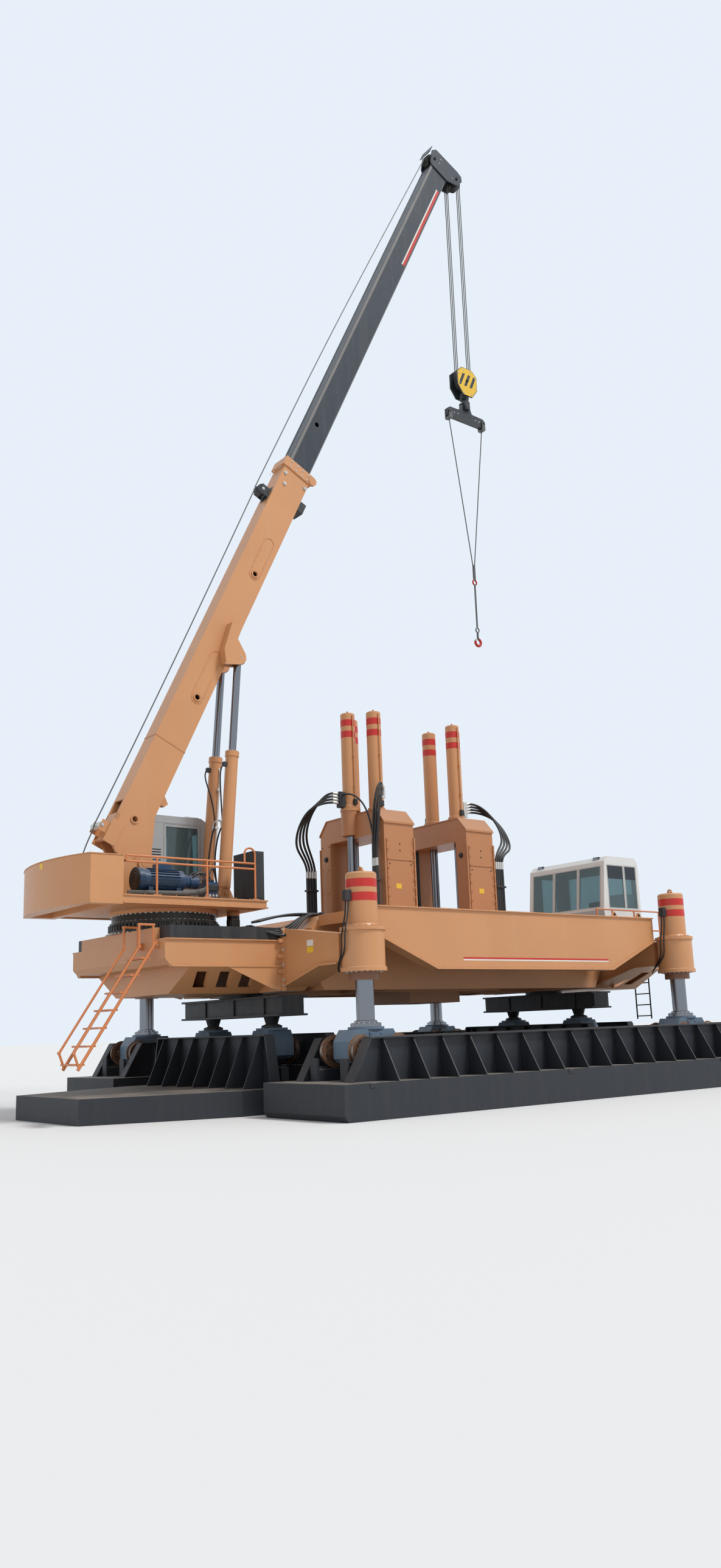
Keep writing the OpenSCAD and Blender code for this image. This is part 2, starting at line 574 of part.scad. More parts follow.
// Press
portal_hy = well_hy + 30 + portal_col;
press_pts = [[-portal_in - portal_l / 2, -400], [-portal_in - portal_l / 2, 400], [portal_in + portal_l / 2, -400],
  [portal_in + portal_l / 2, 400], [-portal_in - portal_l, 0], [portal_in + portal_l, 0]];
module portal_frame() {
  hy = portal_hy;
  difference() {
    cross_plate([[-hy, deck_z], [hy, deck_z], [hy, portal_top - shoulder_h], [hy - shoulder_w, portal_top],
      [-hy + shoulder_w, portal_top], [-hy, portal_top - shoulder_h]], portal_in, portal_in + portal_l);
    block([portal_in - 1, -hy + portal_col, deck_z - 1], [portal_in + portal_l + 1, hy - portal_col, portal_top - portal_beam]);
  }
  // half-round cup that carries the outer cylinder
  difference() {
    translate([portal_in + portal_l, 0, portal_top - portal_beam + 60]) cylinder(r1 = press_r + 40, r2 = press_r + 50, h = portal_beam + 30);
    block([portal_in + portal_l - 400, -400, 0], [portal_in + portal_l - 5, 400, 7000]);
  }
  // roof plates on the shoulders, and seam flanges of the bolted column plates
  both_y() {
    cross_plate([[-hy - 25, portal_top - shoulder_h - 30], [-hy, portal_top - shoulder_h - 30], [-hy, portal_top - shoulder_h],
      [-hy + shoulder_w, portal_top], [-hy + shoulder_w - 10, portal_top + 24], [-hy - 25, portal_top - shoulder_h + 10]],
      portal_in - 20, portal_in + portal_l + 20);
    for (x = [portal_in - 20, portal_in + portal_l - 14])
      block([x, -hy - 24, deck_z], [x + 34, -hy, portal_top - shoulder_h - 300]);
  }
  block([portal_in - 20, -hy + shoulder_w - 4, portal_top], [portal_in + portal_l + 20, hy - shoulder_w + 4, portal_top + 24]);
}
module portal_frames() color("#b9774a") translate([press_x, 0, 0]) {
  difference() {
    both_x() portal_frame();
    for (p = press_pts) translate([p[0], p[1], deck_z]) cylinder(r = press_rod_r + 8, h = 3000);
  }
}
// dark guide strips on the inner edges of the columns
module guide_strips() color("#26241f") translate([press_x, 0, 0]) both_x() both_y()
  block([portal_in + 60, -well_hy - 30, deck_z], [portal_in + 200, -well_hy + 10, portal_top - portal_beam]);

module press_cylinder(base) {
  top = press_top;
  rotate_extrude() polygon([[press_rod_r + fit, base], [press_r + 60, base], [press_r + 60, base + 60], [press_r + 28, base + 66],
    [press_r + 28, base + 110], [press_r, base + 130], [press_r, top - 20], [press_r - 20, top], [0, top], [0, top - 40],
    [press_r - 30, top - 40], [press_r - 30, base + 120], [press_rod_r + fit, base + 120]]);
  difference() {
    cross_plate([[-34, top], [34, top], [16, top + 60], [-16, top + 60]], -12, 12);
    translate([-20, 0, top + 34]) rotate([0, 90, 0]) cylinder(r = 12, h = 40);
  }
}
module press_cylinders() color(tan_paint) translate([press_x, 0, 0]) for (i = [0:5])
  translate([press_pts[i][0], press_pts[i][1], 0]) press_cylinder(i < 4 ? portal_top + 24 : portal_top + 90);

// clamping box: a thick square tube that the pile passes through
clamp_hx = portal_in - 60;
module clamp_box() color("#a8663c") translate([press_x, 0, 0]) difference() {
  block([-clamp_hx, -well_hy + 30, clamp_top - clamp_h], [clamp_hx, well_hy - 30, clamp_top]);
  block([-pile_side / 2, -pile_side / 2, clamp_top - clamp_h - 1], [pile_side / 2, pile_side / 2, clamp_top + 1]);
}
// its wings, which reach under the press cylinders, with guide shoes and a knee below
module clamp_wings() color("#a8663c") translate([press_x, 0, 0]) both_x() difference() {
  union() {
    block([clamp_hx, -560, clamp_top - 560], [portal_in + portal_l + 150, 560, clamp_top - 40]);
    both_y() block([portal_in + 70, -well_hy + 16, clamp_top - 520], [portal_in + 190, -559, clamp_top - 80]);
    side_plate([[clamp_hx, clamp_top - 1100], [portal_in + portal_l, clamp_top - 560], [clamp_hx, clamp_top - 560]], -300, 300);
  }
  // pockets between the ribs, and the seats of the rods
  for (s = [-1, 1])
    block([portal_in + 40, s > 0 ? 110 : -240, clamp_top - 300], [portal_in + portal_l + 60, s > 0 ? 240 : -110, clamp_top]);
  for (p = press_pts) translate([p[0], p[1], clamp_top - 300]) cylinder(r = press_rod_r, h = 400);
}
module press_rods() color(chrome) translate([press_x, 0, 0]) for (p = press_pts)
  translate([p[0], p[1], clamp_top - 300]) cylinder(r = press_rod_r, h = portal_top + 340 - clamp_top + 300);

// Ladder, railing and operator cab
ladder_top = [-6780, 2900];
ladder_foot = [-8150, 860];
module ladder_rails() color("#c4703a") {
  cab_railing();
  rail_r = 20;
  w = 560;
  y0 = -1560;
  d = ladder_foot - ladder_top;
  n = 7;
  for (y = [y0, y0 + w]) {
    rod_between([ladder_top[0], y, ladder_top[1]], [ladder_foot[0], y, ladder_foot[1]], 26);
    // handrail: a loop at the top, then down beside the stringer
    tube_path([[ladder_top[0] - 60, y, ladder_top[1] - 90], [ladder_top[0] - 60, y, ladder_top[1] + 270],
      [ladder_top[0] - 320, y, ladder_top[1] + 270], [ladder_top[0] - 320, y, ladder_top[1] - 100],
      [ladder_foot[0] - 70, y, ladder_foot[1] + 270], [ladder_foot[0] + 20, y, ladder_foot[1] + 30]], rail_r);
    block([ladder_top[0] - 20, y - 30, ladder_top[1] - 120], [-module_x1, y + 30, ladder_top[1]]);
  }
  for (i = [1:n]) let (p = ladder_top + d * i / (n + 0.3))
    block([p[0] - 100, y0, p[1] - 15], [p[0] + 60, y0 + w, p[1] + 15]);
}

cab_x0 = 5100;
cab_z0 = plinth_top;
// railing round the cab's platform; on the door's side it stops short of the door's swing
module cab_railing() {
  x1 = module_x1 - 40;
  z = module_top + 20;
  for (side = [[-1, x1, [module_x0 + 80, cab_x0 - 80, cab_x0 + 700, x1]], [1, cab_x0 + 300, [module_x0 + 80, cab_x0 + 280]]]) {
    y = side[0] * (cab_hy + 300);
    for (x = side[2]) rod_between([x, y, z], [x, y, z + 900], 20);
    for (h = [450, 900]) rod_between([module_x0 + 60, y, z + h], [side[1] + 20, y, z + h], 18);
  }
}
// a door's hinge axis stands this far out from the cab's face
hinge_out = 20;
hinge_pin_r = 9;
// hinge half on the cab: a foot with an upright pin
module hinge_foot() {
  translate([0, 0, -25]) cylinder(r = 13, h = 25);
  block([0, -hinge_out - 1, -25], [32, 12, 0]);
  cylinder(r = hinge_pin_r, h = 70);
}
// hinge half on the door: a knuckle round the pin, on a leaf
module hinge_leaf() difference() {
  union() {
    translate([0, 0, seat]) cylinder(r = 15, h = 60);
    block([-66, -hinge_out - 1, seat], [-2, -hinge_pin_r - 2, 60 + seat]);
  }
  translate([0, 0, -1]) cylinder(r = hinge_pin_r + fit, h = 80);
}
// shell of a cab: profile extruded across, hollowed, windows cut
module operator_cab() color("#e8e8e6") {
  x0 = cab_x0;
  x1 = cab_x0 + cab_l;
  w = cab_wall;
  outer = [[x0 + 60, cab_z0], [x1, cab_z0], [x1, cab_z0 + cab_h - 130], [x1 - 110, cab_z0 + cab_h], [x0 + 260, cab_z0 + cab_h],
    [x0 + 130, cab_z0 + cab_h - 120], [x0, cab_z0 + 760]];
  inner = [[x0 + 60 + w, cab_z0 + w], [x1 - w, cab_z0 + w], [x1 - w, cab_z0 + cab_h - 130 - w], [x1 - 110 - w, cab_z0 + cab_h - w],
    [x0 + 270 + w, cab_z0 + cab_h - w], [x0 + 140 + w, cab_z0 + cab_h - 120 - w], [x0 + w, cab_z0 + 760]];
  difference() {
    side_plate(outer, -cab_hy, cab_hy);
    side_plate(inner, -cab_hy + w, cab_hy - w);
    // front and rear windows
    for (y = [[-cab_hy + 130, -430], [-350, 350], [430, cab_hy - 130]])
      block([x0 - 10, y[0], cab_z0 + 820], [x0 + 400, y[1], cab_z0 + cab_h - 240]);
    block([x1 - w - 5, -cab_hy + 200, cab_z0 + 900], [x1 + 5, cab_hy - 200, cab_z0 + cab_h - 260]);
    // near side: two windows; far side: the door opening
    for (x = [[x0 + 220, x0 + 780], [x0 + 850, x1 - 110]])
      block([x[0], -cab_hy - 5, cab_z0 + 800], [x[1], -cab_hy + w + 5, cab_z0 + cab_h - 220]);
    block([x0 + 400, cab_hy - w - 5, cab_z0 + 60], [x0 + 1120, cab_hy + 5, cab_z0 + cab_h - 190]);
  }
  for (z = [300, cab_h - 500]) translate([x0 + 1120, cab_hy + hinge_out, cab_z0 + z]) hinge_foot();
}
module operator_door() color("#e8e8e6") {
  x0 = cab_x0 + 400 + rub;
  x1 = cab_x0 + 1120 - rub;
  difference() {
    block([x0, cab_hy - 34, cab_z0 + 60 + rub], [x1, cab_hy, cab_z0 + cab_h - 190 - rub]);
    block([x0 + 90, cab_hy - 40, cab_z0 + 840], [x1 - 90, cab_hy + 5, cab_z0 + cab_h - 270]);
  }
  for (z = [300, cab_h - 500]) translate([x1 + rub, cab_hy + hinge_out, cab_z0 + z]) hinge_leaf();
}

// Crane turret, drawn about the slewing axis
deck_top = turret_z + turret_h;
module at_crane() { translate([crane_x, 0, 0]) children(); }
function rel_x(x) = x - crane_x;
module turret_deck() color(tan_paint) at_crane() {
  front = turret_front;
  back = -turret_back;
  pin = [rel_x(foot_px), foot_pz];
  difference() {
    union() {
      block([back, -turret_hy, turret_z], [front, turret_hy, deck_top]);
      // edge channel
      both_y() block([back, -turret_hy - 22, turret_z], [front + 22, -turret_hy, turret_z + 24]);
      both_y() block([back, -turret_hy - 22, deck_top - 24], [front + 22, -turret_hy, deck_top]);
      block([front, -turret_hy, turret_z], [front + 22, turret_hy, turret_z + 24]);
      block([front, -turret_hy, deck_top - 24], [front + 22, turret_hy, deck_top]);
    }
    // open bays underneath, outside the ring seat
    both_y() block([back + 60, -turret_hy + 60, turret_z - 1], [front - 60, -turret_hy + 330, deck_top - 20]);
  }
  // upper ring with its bolt flange, down to the toothed ring
  translate([0, 0, plinth_top + 210 + seat]) ring(ring_r - 60, ring_r - 235, turret_z - plinth_top - 210 - seat);
  translate([0, 0, turret_z - 60]) ring(ring_r - 20, ring_r - 235, 60);
  // slewing drive beside the ring
  translate([ring_r + 150, -520, plinth_top + 130]) cylinder(r = 118, h = turret_z - plinth_top - 130);
  // uprights of the boom foot, tied by a cross plate, with the foot pin
  both_y() difference() {
    side_plate([[back, deck_top], [pin[0] + 700, deck_top], [pin[0] + 420, deck_top + 300], [pin[0] + 190, pin[1] + 40],
      [pin[0] + 90, pin[1] + 170], [pin[0] - 90, pin[1] + 170], [pin[0] - 190, pin[1] + 40], [back, weight_top - 20]],
      -boom_w / 2 - 90, -boom_w / 2 - 40);
    bar_y(pin, 75, -boom_w, boom_w);
  }
  bar_y(pin, 75, -boom_w / 2 - 130, boom_w / 2 + 130);
  both_y() bar_y(pin, 135, -boom_w / 2 - 125, -boom_w / 2 - 90);
  block([back + 20, -boom_w / 2 - 42, deck_top], [back + 60, boom_w / 2 + 42, weight_top - 60]);
  // feet of the luffing cylinders: two cheeks and a pin each
  p = [rel_x(luff_px), luff_pz];
  for (s = [-1, 1]) {
    for (y = [s * luff_y - 62 - 36 - rub, s * luff_y + 62 + rub])
      side_plate([[p[0] - 230, deck_top], [p[0] + 230, deck_top], [p[0] + 75, p[1] + 60], [p[0] - 75, p[1] + 60]], y, y + 36);
    bar_y(p, 55, s * luff_y - 125, s * luff_y + 125);
  }
}

// round-backed counterweight, hollow underneath
module counterweight() color(tan_paint) at_crane() {
  reach = weight_reach;
  r = ((reach - weight_x) * (reach - weight_x) + turret_hy * turret_hy) / (2 * (reach - weight_x));
  difference() {
    translate([0, 0, turret_z - 20]) linear_extrude(weight_top - turret_z + 20) intersection() {
      translate([-reach + r, 0]) circle(r = r, $fn = 180);
      translate([-reach - 10, -turret_hy]) square([reach + 10 - turret_back, 2 * turret_hy]);
    }
    // shallow recess underneath
    translate([-weight_x + 60, -turret_hy + 200, turret_z - 21]) cube([weight_x - turret_back - 200, 2 * turret_hy - 400, 140]);
  }
  // rope guard rim over the top edge
  translate([0, 0, weight_top]) linear_extrude(14) difference() {
    intersection() {
      translate([-reach + r, 0]) circle(r = r + 12, $fn = 180);
      translate([-reach - 20, -turret_hy - 12]) square([reach + 20 - turret_back, 2 * turret_hy + 24]);
    }
    intersection() {
      translate([-reach + r, 0]) circle(r = r - 70, $fn = 180);
      translate([-reach + 60, -turret_hy + 70]) square([reach - turret_back - 130, 2 * turret_hy - 140]);
    }
  }
}

crane_cab_x0 = -80;
crane_cab_y0 = 560;
crane_cab_y1 = 1370;
module crane_cab() color("#b9bdbd") at_crane() {
  x0 = crane_cab_x0;
  x1 = x0 + crane_cab_l;
  w = cab_wall;
  z0 = deck_top;
  z1 = crane_cab_top;
  outer = [[x0, z0], [x1 - 180, z0], [x1, z0 + 500], [x1 - 60, z1 - 120], [x1 - 260, z1], [x0 + 60, z1], [x0, z1 - 70]];
  inner = [[x0 + w, z0 + w], [x1 - 190 - w, z0 + w], [x1 - 5 - w, z0 + 515], [x1 - 65 - w, z1 - 130 - w], [x1 - 275 - w / 2, z1 - w],
    [x0 + 70 + w / 2, z1 - w], [x0 + w, z1 - 80 - w / 2]];
  difference() {
    side_plate(outer, crane_cab_y0, crane_cab_y1);
    side_plate(inner, crane_cab_y0 + w, crane_cab_y1 - w);
    // side window towards the boom, rear window, windscreen and door opening
    block([x0 + 420, crane_cab_y0 - 5, z0 + 620], [x1 - 330, crane_cab_y0 + w + 5, z1 - 210]);
    block([x0 - 5, crane_cab_y0 + 140, z0 + 900], [x0 + w + 5, crane_cab_y1 - 140, z1 - 260]);
    block([x1 - 240, crane_cab_y0 + 110, z0 + 620], [x1 + 5, crane_cab_y1 - 110, z1 - 230]);
    block([x0 + 240, crane_cab_y1 - w - 5, z0 + 70], [x0 + 960, crane_cab_y1 + 5, z1 - 180]);
  }
  for (z = [300, 1250]) translate([x0 + 960, crane_cab_y1 + hinge_out, z0 + z]) hinge_foot();
}
module crane_door() color("#b9bdbd") at_crane() {
  x0 = crane_cab_x0 + 240 + rub;
  x1 = crane_cab_x0 + 960 - rub;
  difference() {
    block([x0, crane_cab_y1 - 32, deck_top + 70 + rub], [x1, crane_cab_y1, crane_cab_top - 180 - rub]);
    block([x0 + 80, crane_cab_y1 - 40, deck_top + 700], [x1 - 80, crane_cab_y1 + 5, crane_cab_top - 260]);
  }
  for (z = [300, 1250]) translate([x1 + rub, crane_cab_y1 + hinge_out, deck_top + z]) hinge_leaf();
}

// electric motor, pump and valve block
module power_pack() color("#1f4fa0") at_crane() {
  x0 = -980;
  len = 800;
  y = -930;
  z = deck_top + 320;
  fins = 24;
  translate([x0, y, z]) rotate([0, 90, 0]) {
    cylinder(r = 190, h = len);
    for (i = [0:fins - 1]) rotate([0, 0, i * 360 / fins]) translate([180, -4, 130]) cube([36, 8, len - 230]);
    translate([0, 0, -90]) cylinder(r = 214, h = 95);
    translate([0, 0, len]) cylinder(r1 = 150, r2 = 110, h = 150);
    translate([0, 0, len + 150]) cylinder(r = 120, h = 170);
  }
  block([x0 + 300, y - 110, z + 180], [x0 + 560, y + 110, z + 290]);
  for (x = [x0 + 90, x0 + len - 170]) block([x, y - 170, deck_top], [x + 80, y + 170, z - 130]);
  // valve block on its stand
  block([x0 + 1250, y - 120, deck_top], [x0 + 1500, y + 160, deck_top + 330]);
  for (i = [0:3]) translate([x0 + 1290 + i * 55, y + 20, deck_top + 330]) cylinder(r = 20, h = 70);
}

module switch_cabinet() color("#16181a") at_crane()
  block([turret_front - 260, -turret_hy + 40, deck_top], [turret_front - 20, -turret_hy + 700, 4590]);

module turret_railing() color("#c4703a") at_crane() {
  y = -turret_hy + 18;
  z = 4350;
  x0 = -turret_back + 60;
  x1 = turret_front - 230;
  posts = [-890, 100, x1];
  for (x = posts) rod_between([x, y, deck_top], [x, y, z], 20);
  for (h = [z - 100, z]) rod_between([x0, y, h], [x1, y, h], 18);
  rod_between([x0, y, z - 100], [x0, y, z], 18);
  // grab loop over the last post
  rod_between([x1, y, z], [x1, y, z + 170], 18);
  translate([x1 - 110, y, z + 170]) rotate([90, 0, 0]) rotate_extrude(angle = 180) translate([110, 0]) circle(r = 18);
  rod_between([x1 - 220, y, z], [x1 - 220, y, z + 170], 18);
}

// Boom, drawn along X from its foot pin
module at_boom() { translate([foot_px, 0, foot_pz]) rotate([0, -boom_deg, 0]) children(); }
boom_u0 = 900;       // where the closed box of the base section starts
v_mid = boom_off;
runner_h = 8;        // runners that stand on the inner section's back
lug_gap = luff_rod_r + rub + 3;
// a racetrack outline between two centres
module race(u0, u1, r) {
  for (u = [u0, u1]) translate([u, 0]) circle(r = r);
  translate([u0, -r]) square([u1 - u0, 2 * r]);
}
bushes = [[657, v_mid], [3480, v_mid - 90], [6630, v_mid - 90]];
module boom_base() color(tan_paint) at_boom() {
  v0 = v_mid - boom_h / 2;
  v1 = v_mid + boom_h / 2;
  hub = 165;
  difference() {
    union() {
      block([boom_u0, -boom_w / 2, v0], [boom_l - 200, boom_w / 2, v1]);
      // foot cheeks
      both_y() side_plate([[boom_u0 + 5, v0], [boom_u0 + 5, v1], [150, v1], [-60, v_mid + 60], [-hub, 0], [-hub * 0.7, -hub * 0.7],
        [0, -hub], [160, -hub + 40]], -boom_w / 2, -boom_w / 2 + 60);
      // collar at the end
      block([boom_l - 230, -boom_w / 2 - 25, v0 - 55], [boom_l, boom_w / 2 + 25, v1 + 55]);
      both_y() bar_y([boom_l - 120, v0 - 40], 95, -boom_w / 2 - 45, -boom_w / 2 + 20);
      bar_y([0, 0], hub - 8, -boom_w / 2, boom_w / 2);
      // seam band
      block([2330, -boom_w / 2 - 8, v0 - 8], [2350, boom_w / 2 + 8, v1 + 8]);
      // wedge brackets of the luffing lugs on both sides
      both_y() side_plate([[lug_u - 300, v0 + 80], [lug_u + 130, v0 + 60], [lug_u + 620, v0 + 90], [lug_u + 560, v0 + 330],
        [lug_u - 60, v0 + 240]], -luff_y - lug_gap - 40, -boom_w / 2 + 10);
      both_y() for (y = [-luff_y - lug_gap - 40, -luff_y + lug_gap])
        side_plate([[lug_u - 330, v0 + 100], [lug_u - 130, -60], [lug_u - 40, -120], [lug_u + 40, -120], [lug_u + 130, -60],
          [lug_u + 330, v0 + 100]], y, y + 40);
      // hook bracket below the boom
      side_plate([[1250, v0 - 150], [1330, v0 - 190], [1480, v0], [1220, v0]], -60, 60);
    }
    // inside
    block([boom_u0 - 10, -boom_w / 2 + boom_t, v0 + boom_t], [boom_l - 60, boom_w / 2 - boom_t, v1 - boom_t]);
    block([boom_l - 70, -inner_w / 2 - rub, v_mid - inner_h / 2 - seat],
      [boom_l + 1, inner_w / 2 + rub, v_mid + inner_h / 2 + runner_h + rub]);
    bar_y([0, 0], 75 + fit, -boom_w, boom_w);
    // round bushes through the side plates
    for (b = bushes) bar_y(b, 55, -boom_w, boom_w);
  }
  // raised racetrack frames on the sides, and bush rings
  both_y() {
    for (u = [[3350, 4600], [6500, 7600]])
      translate([0, -boom_w / 2, v_mid - 90]) rotate([90, 0, 0]) linear_extrude(9) difference() {
        race(u[0] + 130, u[1] - 130, 130);
        race(u[0] + 130, u[1] - 130, 112);
      }
    for (b = bushes)
      translate([b[0], -boom_w / 2, b[1]]) rotate([90, 0, 0]) ring(82, 55, 22);
  }
  // the lug pins
  both_y() bar_y([lug_u, 0], lug_pin_r, -luff_y - lug_gap - 40, -luff_y + lug_gap + 40);
}

head_u = tip_l + 260;
sheave_pts = [[head_u - 100, v_mid + 270], [head_u, v_mid - 510]];
module boom_inner() color(steel_paint) at_boom() {
  u0 = boom_l - inner_in;
  v0 = v_mid - inner_h / 2;
  v1 = v_mid + inner_h / 2;
  difference() {
    union() {
      block([u0, -inner_w / 2, v0], [tip_l + 120, inner_w / 2, v1]);
      // runners along the back
      both_y() block([u0 + 600, -inner_w / 2, v1], [tip_l - 60, -inner_w / 2 + 45, v1 + runner_h]);
      // head cheeks
      both_y() side_plate([[tip_l - 40, v1 + 60], [head_u + 60, v1 + 150], [head_u + 190, v1 + 60], [head_u + 220, v0 - 170],
        [head_u + 190, v0 - 330], [head_u + 60, v0 - 400], [head_u - 170, v0 - 330], [tip_l - 100, v0 + 20], [tip_l - 100, v1]],
        -inner_w / 2 - 30, -inner_w / 2);
    }
    block([u0 - 1, -inner_w / 2 + boom_t, v0 + boom_t], [tip_l + 60, inner_w / 2 - boom_t, v1 - boom_t]);
    block([tip_l + 60, -inner_w / 2 + boom_t, v0 - 400], [tip_l + 400, inner_w / 2 - boom_t, v1 + 200]);
    block([tip_l - 70, -inner_w / 2 + boom_t, v_mid + 150], [tip_l + 400, inner_w / 2 - boom_t, v1 + 200]);
    for (p = sheave_pts) bar_y(p, 38, -boom_w, boom_w);
    bar_y([boom_l + 1300, v_mid + 60], 55, -boom_w, boom_w);
  }
}
sheave_ys = [-56, 0, 56];
// the sheaves in the boom head on their pins
module sheave(r, w) {
  rotate_extrude() polygon([[36, -w / 2], [r, -w / 2], [r - 22, -w / 5], [r - 30, 0], [r - 22, w / 5], [r, w / 2], [36, w / 2]]);
}
module head_sheaves() color("#3a3d40") at_boom() for (p = sheave_pts) {
  bar_y(p, 38, -inner_w / 2 - 60, inner_w / 2 + 60);
  for (y = sheave_ys) translate([p[0], y, p[1]]) rotate([90, 0, 0]) sheave(p == sheave_pts[0] ? sheave_r * 0.8 : sheave_r, 48);
}

// Luffing cylinders
lug_pin_r = 48;
eye_r = 140;
eye_bore = 92;       // wider than the pin, which drifts as the boom luffs
boom_dir = [cos(boom_deg), sin(boom_deg)];
lug_xz = [foot_px + lug_u * boom_dir[0], foot_pz + lug_u * boom_dir[1]];
luff_vec = lug_xz - [luff_px, luff_pz];
luff_len = norm(luff_vec);
luff_ang = atan2(luff_vec[1], luff_vec[0]);
// drawn upright along Z from the foot pin
module at_luff() { translate([luff_px, 0, luff_pz]) rotate([0, 90 - luff_ang, 0]) children(); }
module luff_barrels() color(tan_paint) at_luff() for (s = [-1, 1]) translate([0, s * luff_y, 0]) {
  difference() {
    union() {
      translate([0, 0, 90]) rotate_extrude() polygon([[0, 0], [luff_r - 20, 0], [luff_r, 30], [luff_r, luff_l - 210], [luff_r + 14, luff_l - 200],
        [luff_r + 14, luff_l - 95], [luff_rod_r + fit, luff_l - 90], [luff_rod_r + fit, luff_l - 250], [luff_r - 18, luff_l - 250],
        [luff_r - 18, 60], [0, 60]]);
      bar_y([0, 0], 105, -62, 62);
      block([-95, -62, 0], [95, 62, 110]);
    }
    bar_y([0, 0], 55 + fit, -70, 70);
  }
}
module luff_rods() color(chrome) at_luff() for (s = [-1, 1]) translate([0, s * luff_y, 0]) {
  difference() {
    union() {
      translate([0, 0, luff_l - 700]) cylinder(r = luff_rod_r, h = luff_len - eye_r + 30 - luff_l + 700);
      bar_y([0, luff_len], eye_r, -lug_gap + rub, lug_gap - rub);
    }
    bar_y([0, luff_len], eye_bore, -lug_gap, lug_gap);
  }
}

// Hoist: everything hangs below the lower head sheave
hang_x = foot_px + sheave_pts[1][0] * boom_dir[0] - sheave_pts[1][1] * boom_dir[1];
hang_z = foot_pz + sheave_pts[1][0] * boom_dir[1] + sheave_pts[1][1] * boom_dir[0];
block_pin_z = block_top - 330;
spreader_z = block_top - 1300;
spreader_hx = 560;
module hoist_ropes() color("#77797c") translate([hang_x, 0, 0]) for (x = [-1, 1], y = sheave_ys)
  translate([x * (sheave_r - 14), y, block_pin_z]) cylinder(r = rope_r, h = hang_z - block_pin_z);
// block with its sheaves, swivel and yoke, and the plate that spreads the slings
module hook_block() color("#24282d") translate([hang_x, 0, 0]) {
  translate([0, 0, block_top]) {
    both_y() side_plate([[-170, 0], [170, 0], [330, -150], [330, -520], [150, -760], [-150, -760], [-330, -520], [-330, -150]],
      -150, -118);
    for (y = sheave_ys) translate([0, y, -330]) rotate([90, 0, 0]) sheave(sheave_r, 48);
    bar_y([0, -330], 38, -180, 180);
    both_x() block([95, -118, -60], [165, 118, 0]);
    translate([0, 0, -800]) cylinder(r = 120, h = 130);
    translate([0, 0, -900]) cylinder(r = 55, h = 110);
  }
  translate([0, 0, spreader_z]) {
    side_plate([[-560, -130], [560, -130], [640, -60], [640, 60], [560, 120], [190, 130], [110, 330], [-110, 330], [-190, 130],
      [-560, 120], [-640, 60], [-640, -60]], -55, 55);
    bar_y([0, 250], 43, -130, 130);
    both_y() side_plate([[-80, 190], [80, 190], [70, 400], [-70, 400]], -120, -62);
    block([-70, -120, 380], [70, 120, 420]);
    for (x = [-spreader_hx, spreader_hx]) bar_y([x, 0], 34, -95, 95);
  }
}
sling_join = 12100;
// forked sockets, two ropes to one joint, then a pendant and a small hook
module slings() color("#6d7073") translate([hang_x, 0, 0]) {
  for (s = [-1, 1]) {
    translate([s * spreader_hx, 0, spreader_z]) difference() {
      union() {
        both_y() bar_y([0, 0], 52, -86, -60);
        both_y() block([-52, -86, -190], [52, -60, 0]);
        block([-52, -86, -190], [52, 86, -145]);
      }
      bar_y([0, 0], 34, -90, 90);
    }
    rod_between([s * spreader_hx, 0, spreader_z - 150], [s * 22, 0, sling_join + 160], 13);
  }
  rod_between([0, 0, sling_join + 220], [0, 0, sling_join - 180], 36);
  translate([0, 0, sling_join - 230]) rotate([90, 0, 0]) rotate_extrude() translate([60, 0]) circle(r = 17);
  rod_between([0, 0, sling_join - 290], [0, 0, hook_low + 480], 22);
  translate([0, 0, hook_low + 430]) rotate([90, 0, 0]) rotate_extrude() translate([52, 0]) circle(r = 16);
  rod_between([0, 0, hook_low + 380], [0, 0, hook_low + 215], 26);
  translate([0, 0, hook_low + 118]) rotate([90, 0, 0]) rotate([0, 0, -200]) rotate_extrude(angle = 290) translate([88, 0]) circle(r = 30);
}

hull_box();
deck_wings();
fascia_beams();
leg_arms();
crane_module();
cab_module();
deck_tanks();
ring_gear();
leg_cylinders();
portal_frames();
guide_strips();
press_cylinders();
ladder_rails();
operator_cab();
operator_door();
clamp_box();
clamp_wings();
press_rods();
near_legs();
near_carriages();
near_pontoon();
far_legs();
far_carriages();
far_pontoon();
near_axle_a();
near_axle_b();
near_axle_c();
near_axle_d();
far_axle_a();
far_axle_b();
far_axle_c();
far_axle_d();
left_bolster();
right_bolster();
left_carriages();
right_carriages();
left_short_pontoon();
right_short_pontoon();
left_axle_a();
left_axle_b();
right_axle_a();
right_axle_b();
turret_deck();
counterweight();
crane_cab();
crane_door();
power_pack();
switch_cabinet();
turret_railing();
luff_barrels();
luff_rods();
boom_base();
boom_inner();
head_sheaves();
hoist_ropes();
hook_block();
slings();
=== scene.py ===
import math
import bpy
import bmesh
from mathutils import Matrix, Vector


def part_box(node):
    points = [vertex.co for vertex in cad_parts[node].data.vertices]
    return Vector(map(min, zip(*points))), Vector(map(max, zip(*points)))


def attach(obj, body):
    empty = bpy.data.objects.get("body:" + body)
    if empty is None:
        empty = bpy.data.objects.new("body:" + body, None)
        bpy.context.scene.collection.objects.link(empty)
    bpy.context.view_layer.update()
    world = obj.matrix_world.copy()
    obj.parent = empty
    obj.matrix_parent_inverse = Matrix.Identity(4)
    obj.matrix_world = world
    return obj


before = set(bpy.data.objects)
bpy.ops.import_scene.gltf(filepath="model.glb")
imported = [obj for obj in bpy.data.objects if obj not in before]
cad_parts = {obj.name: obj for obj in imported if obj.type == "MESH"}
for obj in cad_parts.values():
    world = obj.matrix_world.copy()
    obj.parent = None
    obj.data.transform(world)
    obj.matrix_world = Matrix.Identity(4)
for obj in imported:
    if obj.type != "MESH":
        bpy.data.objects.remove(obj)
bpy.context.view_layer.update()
bpy.ops.object.select_all(action="DESELECT")

